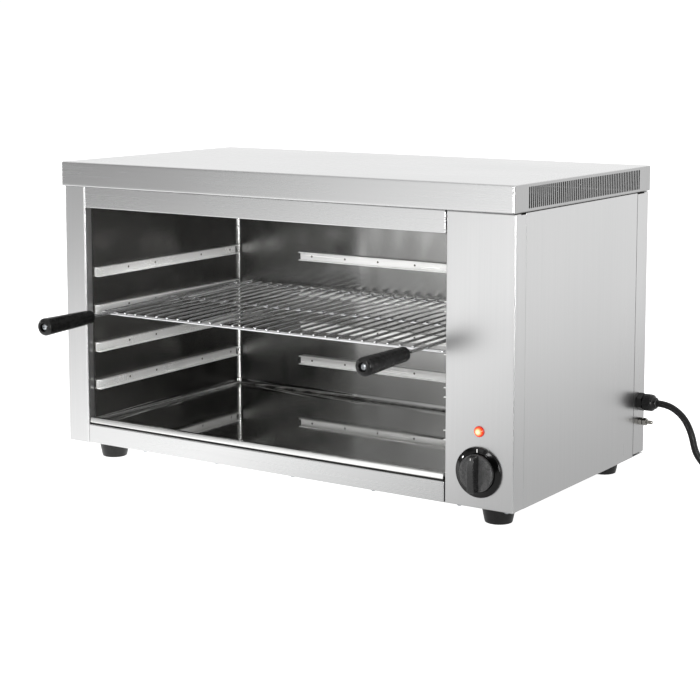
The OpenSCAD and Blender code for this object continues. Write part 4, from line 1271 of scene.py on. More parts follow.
@dataclass
class MainsCord:
    """The mains cord, its coil, its tie and its plug.

    Attributes:
        diameter: Diameter of the cord.
        length: Its real length; not used.
        centre: Middle of the coil.
        inner_r: Radius of the innermost turn.
        tie_w: Width of the tie.
        tie_t: Thickness of the tie.
    """

    diameter: float = 10.3
    length: float = 1800.0
    centre: tuple[float, float] = (560.0, 329.1)
    inner_r: float = 48.5
    tie_w: float = 14.0
    tie_t: float = 1.0

    # The stretch from the gland to the coil, as in the part's source
    LEAD = (
        (418, 260, 106), (425, 260, 106), (439, 259, 104), (453, 256.5, 98), (465, 253.5, 89), (474, 251, 77),
        (480, 250, 63), (484, 250.5, 46), (489, 252, 35), (498, 254.5, 23), (510, 257, 13), (525, 259, 7),
        (540, 260, 5.2), (560, 260, 5.2),
    )
    # The stretch from the coil to the plug, from the coil's middle
    TAIL = ((-4, 5.2), (-13, 6.1), (-23, 8.1), (-33, 10.1), (-42, 11), (-46, 11))

    def coil(self) -> list[Vector]:
        """Winds the coil, two layers of turns, in and out by its outer turn.

        Returns:
            Its points.
        """
        d = self.diameter
        low, high = 5.2, 5.2 + d - 0.05
        inner, middle, outer = self.inner_r, self.inner_r + d, self.inner_r + 2 * d
        halves = (
            HalfTurn((outer, middle), (low, low)),
            HalfTurn((middle, middle), (low, low)),
            HalfTurn((middle, inner), (low, low)),
            HalfTurn((inner, inner), (low, low)),
            HalfTurn((inner, inner), (low, high), (0.25, 0.75)),
            HalfTurn((inner, inner), (high, high)),
            HalfTurn((inner, middle), (high, high), (0.0, 0.4)),
            HalfTurn((middle, middle), (high, high)),
            HalfTurn((middle, outer), (high, high), (0.0, 0.5)),
        )
        steps = 24
        points = []
        for i, half in enumerate(halves):
            for k in range(steps):
                t = k / steps
                share = eased(t, *half.move)
                radius = half.radii[0] + (half.radii[1] - half.radii[0]) * share
                height = half.heights[0] + (half.heights[1] - half.heights[0]) * share
                if i == len(halves) - 1:
                    # The way out rolls down over the turn that moves in under it
                    height = low + d * math.sqrt(1 - eased(t, 0.5, 1.0) ** 2)
                angle = math.pi * (i + t) - math.pi / 2
                across, deep = radius * math.cos(angle), radius * math.sin(angle)
                points.append(Vector((self.centre[0] + across, self.centre[1] + deep, height)))
        return points

    def route(self) -> list[Vector]:
        """Gives the cord's whole centre line.

        Returns:
            Its points, from the gland to the plug.
        """
        d = self.diameter
        end_y = self.centre[1] + self.inner_r + 2 * d
        lead = [Vector(p) for p in self.LEAD]
        tail = [Vector((self.centre[0] + x, end_y, z)) for x, z in self.TAIL]
        points = smoothed(lead)[:-1] + self.coil() + [Vector((self.centre[0], end_y, 5.2))] + smoothed(tail)
        for _ in range(3):
            inner = [(a + 2 * b + c) / 4 for a, b, c in zip(points, points[1:], points[2:])]
            points = [points[0], points[1]] + inner[1:-1] + [points[-2], points[-1]]
        return points

    def build_cord(self, with_pieces: list[bpy.types.Object]) -> None:
        """Makes the cord itself.

        Args:
            with_pieces: The plug, the tie and the gland.
        """
        points = [point * MM for point in self.route()]
        data = bpy.data.curves.new("mains_cord_sheath", "CURVE")
        data.dimensions = "3D"
        data.bevel_depth = self.diameter / 2 * MM
        data.bevel_resolution = 5
        data.use_fill_caps = True
        spline = data.splines.new("POLY")
        spline.points.add(len(points) - 1)
        for spot, point in zip(spline.points, points):
            spot.co = (*point, 1)
        spline.use_smooth = True
        data.materials.append(RUBBER_SHEATH.material())
        cord = bpy.data.objects.new("mains_cord_sheath", data)
        bpy.context.scene.collection.objects.link(cord)
        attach(cord, CABINET)
        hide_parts("mains_cord", "cord_coil")
        # The coil is put away out of the picture, so the sheet doesn't mirror it either
        for part in (cord, *with_pieces[:2]):
            part.visible_glossy = False
        LOG.info("mains_cord_sheath: %d points", len(points))

    def build_tie(self) -> bpy.types.Object:
        """Makes the tie's strap, over the coil and down both of its sides.

        Returns:
            The tie.
        """
        low, high = node_box("cord_tie")
        t = self.tie_t
        corners = [Vector((low.x, 0)), Vector((low.x, high.z)), Vector((high.x, high.z)), Vector((high.x, 0))]
        strap = Shape()
        strap.fold(rounded_line(corners, 3.0, 4), Plane.XZ, (low.y, high.y), -t)
        for k in range(5):
            y = low.y + 1.2 + k * (self.tie_w - 2.4) / 4
            strap.block((low.x + 3, y - 0.25, high.z - 0.1), (high.x - 3, y + 0.25, high.z + 0.15))
        return strap.piece("tie_strap", WOVEN_NYLON, CABINET, ["cord_tie"])

    def build_plug(self) -> bpy.types.Object:
        """Makes the plug with its ribbed sleeve and its three flat pins.

        Returns:
            The plug.
        """
        low, high = node_box("plug")
        at = Vector((high.x, (low.y + high.y) / 2, (low.z + high.z) / 2))
        place = pointing(at, (-1, 0, 0))
        neck, body, pins = 22.0, 32.0, 17.0
        wide, tall = (high.y - low.y) / 2, (high.z - low.z) / 2
        sleeve_r = self.diameter / 2 + 0.75
        plug = Shape()
        profile = [(self.diameter / 2 - 0.2, 0), (sleeve_r, 0.3)]
        for k in range(5):
            z, r = 2 + 3.8 * k, sleeve_r + 2.75 * (2 + 3.8 * k) / neck
            profile += [(r, z), (r, z + 1.9), (r - 1.0, z + 2.2), (r - 0.9, z + 3.5)]
        profile += [(sleeve_r + 2.6, neck - 0.4), (sleeve_r + 3.4, neck + 1), (0, neck + 1)]
        plug.lathe(profile, place, 40)
        plug.block(
            at + Vector((-neck - body, -wide, -tall)), at + Vector((-neck, wide, tall)), radius=4.5, steps=5
        )
        for side in (-1, 1):
            for k in range(4):
                x, y = at.x - neck - 9 - 4 * k, at.y + side * wide
                plug.block((x - 0.8, y - 0.5, at.z - 7), (x + 0.8, y, at.z + 7), 0.3)
        item = plug.piece("plug_body", PVC, CABINET, ["plug"])
        prongs = Shape()
        face = at.x - neck - body
        for y, z, turn in ((7.9, 3.0, 30), (-7.9, 3.0, -30), (0.0, -7.0, 0)):
            prong = Shape()
            prong.block((-pins, -0.8, -3.1), (0.4, 0.8, 3.1), 0.5, 3)
            spin = Matrix.Rotation(math.radians(turn), 4, "X")
            prongs.stamp(prong, Matrix.Translation((face, at.y + y, at.z + z)) @ spin)
        prongs.piece("plug_pins", NICKEL_PLATED, CABINET).visible_glossy = False
        return item

    def build(self, gland: bpy.types.Object) -> None:
        """Builds the cord and what is on it.

        Args:
            gland: The gland that it comes out of.
        """
        self.build_cord([self.build_plug(), self.build_tie(), gland])


def smoothed(points: Sequence[Vector], steps: int = 4) -> list[Vector]:
    """Runs a smooth curve through chosen points.

    Args:
        points: The points.
        steps: Pieces between one point and the next.

    Returns:
        The curve's points.
    """
    line = []
    for i in range(len(points) - 1):
        a, b = points[i], points[i + 1]
        before = points[i - 1] if i else a * 2 - b
        after = points[i + 2] if i + 2 < len(points) else b * 2 - a
        for k in range(steps):
            t = k / steps
            line.append(0.5 * (
                2 * a + (b - before) * t + (2 * before - 5 * a + 4 * b - after) * t ** 2
                + (3 * a - before - 3 * b + after) * t ** 3
            ))
    line.append(points[-1].copy())
    return line


# ---- Cabinet ----


@dataclass
class Cabinet:
    """The outer sheets and their screws.

    Attributes:
        corner_r: Radius of the lid's upright corners.
        lid_return: Depth of the fold under the lid.
        vent_margin: Distance from the lid's front or back to the first slot.
        vent_pitch: Distance between slots.
        vent_w: Width of a slot.
        vent_edge: Edge of the skirt above and below a slot.
        flange_w: Width of the flanges inside.
        return_d: Depth of the folds along the opening.
        lid_gap: Gap that the folds leave between the lid and the sheets under it.
    """

    corner_r: float = 3.0
    lid_return: float = 15.0
    vent_margin: float = 40.0
    vent_pitch: float = 5.8
    vent_w: float = 3.6
    vent_edge: float = 4.5
    flange_w: float = 15.0
    return_d: float = 14.0
    lid_gap: float = 0.9

    def sheet_box(self, node: str) -> tuple[Vector, Vector]:
        """Gives the box of a sheet under the lid, less the gap.

        Args:
            node: Name of the CAD node.

        Returns:
            Its lowest and highest corners.
        """
        low, high = node_box(node)
        if abs(high.z - node_box("lid")[0].z) < 1:
            high.z -= self.lid_gap
        return low, high

    def build_lid(self) -> None:
        """Folds the lid from one sheet, with a row of slots in each side."""
        low, high = node_box("lid")
        span = high.y - low.y
        count = int((span - 2 * self.vent_margin) / self.vent_pitch) + 1
        first = low.y + (span - (count - 1) * self.vent_pitch - self.vent_w) / 2
        slots = [first + i * self.vent_pitch + end for i in range(count) for end in (0, self.vent_w)]
        r = self.corner_r
        ring: list[tuple[Vector, Vector]] = []

        def corner(x: float, y: float, start: float) -> None:
            """Adds one rounded corner to the ring."""
            for px, py in arc((0, 0), 1.0, start, start + 90, 5):
                ring.append((Vector((x + r * px, y + r * py)), Vector((px, py))))

        corner(low.x + r, low.y + r, 180)
        corner(high.x - r, low.y + r, 270)
        right_slots = len(ring)
        ring += [(Vector((high.x, y)), Vector((1, 0))) for y in slots]
        corner(high.x - r, high.y - r, 0)
        corner(low.x + r, high.y - r, 90)
        left_slots = len(ring)
        ring += [(Vector((low.x, y)), Vector((-1, 0))) for y in reversed(slots)]

        angles = [math.radians(18 * k) for k in range(6)]
        fold = [(BEND * (1 - math.sin(a)), BEND * (1 - math.cos(a))) for a in angles]
        levels = [(inset, low.z + rise) for inset, rise in fold]
        levels += [(0.0, low.z + self.vent_edge), (0.0, high.z - self.vent_edge)]
        levels += [(inset, high.z - rise) for inset, rise in reversed(fold)]
        windows = len(fold) + 1
        shell = bmesh.new()
        rows = []
        inner = []
        for point, _ in ring:
            x = min(max(point.x, low.x + self.lid_return), high.x - self.lid_return)
            y = min(max(point.y, low.y + self.lid_return), high.y - self.lid_return)
            inner.append(shell.verts.new((x, y, low.z)))
        rows.append(inner)
        for inset, z in levels:
            rows.append([shell.verts.new((*(point - normal * inset), z)) for point, normal in ring])
        slot_starts = {start + 2 * i for start in (right_slots, left_slots) for i in range(count)}
        wide = len(ring)
        for i in range(len(rows) - 1):
            for k in range(wide):
                if i == windows and k in slot_starts:
                    continue
                after = (k + 1) % wide
                shell.faces.new((rows[i][k], rows[i][after], rows[i + 1][after], rows[i + 1][k]))
        shell.faces.new(rows[-1])
        bmesh.ops.remove_doubles(shell, verts=shell.verts, dist=1e-3)
        bmesh.ops.dissolve_degenerate(shell, edges=shell.edges, dist=1e-3)
        bmesh.ops.recalc_face_normals(shell, faces=shell.faces)
        if max(shell.faces, key=lambda f: f.calc_area()).normal.z < 0:
            bmesh.ops.reverse_faces(shell, faces=shell.faces)
        bmesh.ops.solidify(shell, geom=shell.faces[:], thickness=SHEET)
        lid = Shape()
        lid.mesh.free()
        lid.mesh = shell
        item = lid.piece("lid_shell", BRUSHED_ALONG, CABINET, ["lid"])
        # The side skirts take the darker copy of the sheet: painted shade
        item.data.materials.append(BRUSHED_ACROSS_SHADED.material())
        for face in item.data.polygons:
            if abs(face.normal.x) > 0.8:
                face.material_index = 1

    def build_left_side(self) -> None:
        """Folds the left side with the post and its return."""
        low, high = self.sheet_box("left_side_panel")
        corners = [
            Vector((high.x, low.y + self.return_d)), Vector((high.x, low.y)), Vector((low.x, low.y)),
            Vector((low.x, high.y)),
        ]
        side = Shape()
        side.fold(rounded_line(corners, BEND), Plane.XY, (low.z, high.z), SHEET)
        for z in (low.z + SHEET, high.z - SHEET):
            side.block((low.x + SHEET, low.y + 3, z - 0.1), (low.x + self.flange_w, high.y, z + SHEET - 0.1))
        side.piece("left_side_sheet", BRUSHED_UPRIGHT, CABINET, ["left_side_panel"])

    def build_fronts(self) -> None:
        """Folds the lintel, the sill and the control panel."""
        for node, name, top, bottom in (
            ("front_lintel", "lintel_sheet", self.flange_w, self.return_d),
            ("front_sill", "sill_sheet", self.return_d + 6, self.flange_w),
        ):
            low, high = self.sheet_box(node)
            sheet = Shape()
            place = facing(Vector((low.x, low.y, low.z)), Vector((1, 0, 0)), Vector((0, 0, 1)))
            depths = (self.return_d / 2, self.return_d / 2, bottom, top)
            sheet.pan(place, high.x - low.x, high.z - low.z, depths, 1.6)
            sheet.piece(name, BRUSHED_ALONG, CABINET, [node])
        low, high = self.sheet_box("control_panel")
        panel = Shape()
        place = facing(Vector((low.x, low.y, low.z)), Vector((1, 0, 0)), Vector((0, 0, 1)))
        depths = (self.return_d, high.y - low.y, self.return_d, self.return_d)
        panel.pan(place, high.x - low.x, high.z - low.z, depths)
        panel.piece("control_panel_sheet", BRUSHED_UPRIGHT, CABINET, ["control_panel"])

    def build_right_side(self) -> None:
        """Folds the right side sheet."""
        low, high = self.sheet_box("right_side_panel")
        side = Shape()
        place = facing(Vector((high.x, low.y, low.z)), Vector((0, 1, 0)), Vector((0, 0, 1)))
        depths = (self.flange_w, 2.5, self.flange_w, self.flange_w)
        side.pan(place, high.y - low.y, high.z - low.z, depths, 1.4)
        side.piece("right_side_sheet", BRUSHED_UPRIGHT, CABINET, ["right_side_panel"])

    def build_rear(self) -> None:
        """Folds the rear panel, which wraps round both sides."""
        low, high = self.sheet_box("rear_panel")
        rear = Shape()
        place = facing(Vector((high.x, high.y, low.z)), Vector((-1, 0, 0)), Vector((0, 0, 1)))
        wrap = high.y - low.y
        rear.pan(place, high.x - low.x, high.z - low.z, (wrap, wrap, self.flange_w, self.flange_w))
        rear.piece("rear_sheet", BRUSHED_UPRIGHT, CABINET, ["rear_panel"])

    def build_screws(self) -> None:
        """Puts the screws in the base and the back."""
        head_h = 1.9
        screw = pan_screw(6.6, head_h, 3.5, 9.0)
        for node, name, aim in (
            ("base_screws", "base_screw_set", (0, 0, 1)), ("rear_screws", "rear_screw_set", (0, -1, 0)),
        ):
            group = Shape()
            for low, high in node_islands(node):
                middle = (low + high) / 2
                at = Vector((middle.x, high.y - head_h, middle.z))
                if aim[2]:
                    at = Vector((middle.x, middle.y, low.z + head_h))
                group.stamp(screw, pointing(at, aim))
            group.piece(name, ZINC_PLATED, CABINET, [node], even=False)

    def build(self) -> None:
        """Builds every outer sheet."""
        self.build_lid()
        self.build_left_side()
        self.build_fronts()
        self.build_right_side()
        self.build_rear()
        self.build_screws()
        dress("base_pan", BRUSHED_ALONG, 0.2)


# ---- Cavity ----


@dataclass
class Cavity:
    """The cavity's lining and its rails.

    Attributes:
        seam_r: Inner radius of the bends at the rear corners.
        seam_d: How far the back wall's sheet comes forward along the side walls.
        rail_bend: Outer radius of the rails' bends.
        spot_r: Radius of a weld spot.
        side_spots: Places of the weld spots on a side rail, as shares of its length.
        back_spots: Places of the weld spots on a back rail.
    """

    seam_r: float = 4.0
    seam_d: float = 7.0
    rail_bend: float = 1.8
    spot_r: float = 1.8
    side_spots: tuple[float, ...] = (0.22, 0.404, 0.737, 0.958)
    back_spots: tuple[float, ...] = (0.0615, 0.24, 0.413, 0.6025, 0.78, 0.94)

    def build_back(self) -> None:
        """Folds the back wall, bent forward at both sides."""
        left = node_box("cavity_left_wall")[1].x + 0.15
        right = node_box("cavity_right_wall")[0].x - 0.15
        low, high = node_box("cavity_back_wall")
        corners = [
            Vector((left, low.y - self.seam_d)), Vector((left, low.y)), Vector((right, low.y)),
            Vector((right, low.y - self.seam_d)),
        ]
        wall = Shape()
        wall.fold(rounded_line(corners, self.seam_r, 6), Plane.XY, (low.z, high.z), SHEET)
        sheet = wall.piece(
            "back_wall_sheet", ROLLED_LINING, CABINET, ["cavity_back_wall"]
        )
        # The bends take the lighter material: a painted highlight
        sheet.data.materials.append(BRIGHT_PAINTED_BEND.material())
        for face in sheet.data.polygons:
            if max(abs(value) for value in face.normal) < 0.98:
                face.material_index = 1

    def rail(self, node: str, place: Callable[[float, float, float], Vector], length: float, depth: float,
             height: float) -> None:
        """Bends one rail and marks its weld spots.

        Args:
            node: The CAD node that it stands for.
            place: Takes (along, out of the wall, up) into the part's frame.
            length: Length of the rail.
            depth: How far it stands out of the wall.
            height: Its height.
        """
        half = height / 2
        corners = [Vector((depth, -half)), Vector((0, -half)), Vector((0, half)), Vector((depth, half))]
        line = rounded_line(corners, self.rail_bend, 4)
        back = beside(line, -SHEET)
        outline = line + back[::-1]
        channel = Shape()
        channel.skin([[place(along, p.x, p.y) for p in outline] for along in (0, length)], around=True)
        for along in (0, length):
            channel.skin([[place(along, p.x, p.y) for p in side] for side in (line, back)])
        # The rails take the near-white, mostly dull finish: a painted sheen
        channel.piece(node + "_channel", SATIN_RAIL, CABINET, [node])
        spots = Shape()
        for share in self.back_spots if node.startswith("back") else self.side_spots:
            rows = []
            for part, out in ((1, 0.0), (0.8, 0.12), (0.45, 0.04), (0, 0.02)):
                radius = self.spot_r * part
                angles = [2 * math.pi * k / 20 for k in range(20)]
                rows.append([
                    place(share * length + radius * math.cos(a), SHEET + out, radius * math.sin(a))
                    for a in angles
                ])
            spots.skin(rows, around=True)
        spots.piece(node + "_weld_spots", WELD_SPOT, CABINET, even=False)

    def build_rails(self) -> None:
        """Bends all twelve rails."""
        for level in range(1, 5):
            for side, sign in (("left", 1), ("right", -1)):
                node = f"{side}_rail_{level}"
                low, high = node_box(node)
                wall = low.x if sign > 0 else high.x
                middle = (low.z + high.z) / 2
                self.rail(
                    node,
                    lambda a, o, u, w=wall, s=sign, y=low.y, z=middle: Vector((w + s * o, y + a, z + u)),
                    high.y - low.y, high.x - low.x, high.z - low.z,
                )
            node = f"back_rail_{level}"
            low, high = node_box(node)
            self.rail(
                node,
                lambda a, o, u, x=low.x, y=high.y, z=(low.z + high.z) / 2: Vector((x + a, y - o, z + u)),
                high.x - low.x, high.y - low.y, high.z - low.z,
            )

    def build(self) -> None:
        """Builds the lining and the rails."""
        self.build_back()
        # The side walls take the darker copy of the lining: painted shade
        for node in ("cavity_left_wall", "cavity_right_wall"):
            dress(node, SHADED_LINING, sheet_axis=0)
        for node in ("cavity_ceiling", "cavity_floor"):
            dress(node, MILL_SHEET, sheet_axis=2)
        self.build_rails()


# ---- Crumb tray ----


@dataclass
class CrumbTray:
    """The crumb tray with its rolled lip.

    Attributes:
        lip_d: Depth of the lip.
        lip_lean: How far the lip's face leans back over its height.
        bend_r: Outer radius of the folds round the floor.
    """

    lip_d: float = 7.0
    lip_lean: float = 1.1
    bend_r: float = 6.5

    def build(self) -> None:
        """Folds the tray."""
        low, high = node_box("crumb_tray")
        rim = low.y + self.lip_d
        pan = Shape()
        place = facing(Vector((low.x, rim, low.z)), Vector((0, 1, 0)), Vector((1, 0, 0)))
        height = high.z - low.z
        pan.pan(place, high.y - rim, high.x - low.x, (height,) * 4, self.bend_r)
        foot = low.z + 1
        lip = [
            Vector((rim + SHEET, high.z)), Vector((low.y + self.lip_lean, high.z)), Vector((low.y, foot)),
            Vector((low.y + 3.2, foot)),
        ]
        pan.piece("crumb_tray_sheet", POLISHED_TRAY, TRAY, ["crumb_tray"])
        # The lip takes the lighter material: a painted highlight
        front = Shape()
        front.fold(rounded_line(lip, 1.5, 5), Plane.YZ, (low.x, high.x), SHEET)
        front.piece("crumb_tray_lip", BRIGHT_PAINTED_LIP, TRAY)


# ---- Rack ----


@dataclass
class WireRack:
    """The wire rack with its two grips, drawn in its own frame, which starts at its rods' front left corner.

    Attributes:
        setback: Distance from the lid's front to the front rod.
        depth: Depth between the front and the rear rod.
        play: How much lower the front rod lies than the rear one.
        rod_r: Radius of the frame rod.
        wire_r: Radius of the grid wires.
        pitch: Distance between the grid wires.
        lines: Number of lengthwise lines, handle rods included.
        corner_r: Bend radius of the frame's corners.
        tail: How far the wires run past the rear rod.
        sink: How deep a weld lets one rod into another.
        grip_tip: Distance from the front rod to the grips' tips.
        grip_l: Length of a grip.
        grip_tip_r: Radius of a grip at its tip.
        grip_root_r: Radius of a grip at its root.
        recess_r: Radius of the recess in a grip's tip.
        recess_d: Depth of that recess.
    """

    setback: float = 29.0
    depth: float = 347.0
    play: float = 6.5
    rod_r: float = 2.5
    wire_r: float = 2.0
    pitch: float = 21.0
    lines: int = 28
    corner_r: float = 12.0
    tail: float = 6.0
    sink: float = 0.5
    grip_tip: float = 162.94
    grip_l: float = 104.0
    grip_tip_r: float = 13.25
    grip_root_r: float = 10.5
    recess_r: float = 6.5
    recess_d: float = 5.0

    def __post_init__(self) -> None:
        """Finds the rack's place from the CAD frame."""
        low, high = node_box("rack_grid")
        lid_front = node_box("lid")[0].y
        grips_z = [(box[0].z + box[1].z) / 2 for box in (node_box("left_grip"), node_box("right_grip"))]
        tilt = math.asin(self.play / self.depth)
        self.width = high.x - low.x - 2 * self.rod_r
        self.handle_z = 2 * self.rod_r - self.sink
        self.wire_z = self.rod_r + self.wire_r - self.sink
        grip_middle = self.grip_tip - self.grip_l / 2
        z = grips_z[0] + grip_middle * math.sin(tilt) - self.handle_z * math.cos(tilt)
        at = Vector((low.x + self.rod_r, lid_front + self.setback, z))
        self.place = Matrix.Translation(at) @ Matrix.Rotation(tilt, 4, "X")
        self.first_x = (self.width - (self.lines - 1) * self.pitch) / 2
        self.handles = (self.first_x, self.width - self.first_x)

    def rod(self, shape: Shape, points: Sequence[Sequence[float]], radius: float, **more: object) -> None:
        """Adds a rod in the rack's own frame.

        Args:
            shape: The shape that gets it.
            points: Its centre line.
            radius: Its radius.
            more: What Shape.tube takes besides.
        """
        shape.tube([self.place @ Vector(point) for point in points], radius, **more)

    def build_grid(self) -> None:
        """Bends and welds the rods and wires."""
        grid = Shape()
        corners = [Vector(p) for p in (
            (0, 0, 0), (self.width, 0, 0), (self.width, self.depth, 0), (0, self.depth, 0),
        )]
        loop = rounded_line(corners, self.corner_r, 8, closed=True)
        self.rod(grid, loop, self.rod_r, closed=True, sides=20)
        self.rod(grid, [(0, self.depth / 2, 0), (self.width, self.depth / 2, 0)], self.rod_r - 0.1, sides=20)
        end = self.depth + self.tail
        for i in range(1, self.lines - 1):
            x = self.first_x + i * self.pitch
            # Each wire's cropped front end droops a little over the front rod
            nose = [(x, -3.6, self.wire_z - 1.5), (x, -2.2, self.wire_z - 0.75), (x, 0, self.wire_z - 0.15)]
            self.rod(grid, nose + [(x, 3, self.wire_z), (x, end, self.wire_z)], self.wire_r, edge=0.9)
            for y in (0.0, self.depth / 2, self.depth):
                at = self.place @ Vector((x, y, self.rod_r - 0.3))
                grid.blob(at, (2.5, 2.1, 1.2))
        for x in self.handles:
            front = -(self.grip_tip - self.grip_l) - 20
            self.rod(grid, [(x, front, self.handle_z), (x, end, self.handle_z)], self.rod_r, sides=20)
            for y in (0.0, self.depth / 2, self.depth):
                for side in (-1, 1):
                    at = self.place @ Vector((x + side * 1.6, y, self.rod_r - 0.1))
                    grid.blob(at, (2.2, 2.6, 1.6))
        for x in (0, self.width):
            grid.blob(self.place @ Vector((x, self.depth / 2, 0)), (3.1, 3.4, 2.9))
        grid.piece("rack_wires", CHROMED_WIRE, RACK, ["rack_grid"], even=False)

    def build_grips(self) -> None:
        """Turns the grips and puts in their screws."""
        r, top = self.grip_tip_r, self.grip_l
        hole = self.rod_r + 0.15
        profile = [(hole, 0.6), (hole + 0.6, 0), (self.grip_root_r - 2, 0)]
        profile += arc((self.grip_root_r - 1.8, 1.8), 1.8, -90, -8, 5)
        grow = r - self.grip_root_r
        profile += [(self.grip_root_r + grow * k / 6, 2 + (top - 9) * k / 6) for k in range(1, 7)]
        profile += arc((r - 5.5, top - 5.5), 5.5, 12, 90, 8)
        floor = top - self.recess_d
        profile += [(self.recess_r + 0.5, top), (self.recess_r, top - 0.5)]
        profile += [(self.recess_r, floor), (0, floor)]
        screw = pan_screw(11.0, 3.2, 4.0, 30.0)
        screws = Shape()
        for node, x in zip(("left_grip", "right_grip"), self.handles):
            root = self.place @ Vector((x, -(self.grip_tip - self.grip_l), self.handle_z))
            tip = self.place @ Vector((x, -self.grip_tip + self.recess_d, self.handle_z))
            aim = (tip - root).normalized()
            grip = Shape()
            grip.lathe(profile, pointing(root, aim), 64)
            grip.piece(node + "_turned", PHENOLIC, RACK, [node])
            screws.stamp(screw, pointing(tip, -aim))
        screws.piece("grip_screw_set", ZINC_PLATED, RACK, ["grip_screws"], even=False)

    def build(self) -> None:
        """Builds the rack."""
        self.build_grid()
        self.build_grips()


# ---- Elements ----


@dataclass
class HeatingElements:
    """The three tubular elements and what holds them.

    Attributes:
        rod_r: Radius of an element.
    """

    rod_r: float = 4.0

    def build(self) -> None:
        """Bends the elements and dresses their hangers and bushes."""
        for i in (1, 2, 3):
            node = f"heating_element_{i}"
            low, high = node_box(node)
            z = (low.z + high.z) / 2
            arc_r = (high.y - low.y) / 2 - self.rod_r
            middle = (low.y + high.y) / 2
            bend = arc((low.x + self.rod_r + arc_r, middle), arc_r, 270, 90, 24)
            path = [Vector((high.x, middle - arc_r, z))] + [Vector((x, y, z)) for x, y in bend]
            path.append(Vector((high.x, middle + arc_r, z)))
            element = Shape()
            element.tube(path, self.rod_r, sides=20)
            name = f"element_{i}_sheath"
            element.piece(name, OXIDISED_SHEATH, CABINET, [node], even=False)
        # The hangers share the rails' pale finish: a painted sheen
        dress("element_hangers", SATIN_RAIL, 0.2)
        dress("element_bushes", CERAMIC)


# ---- Controls ----


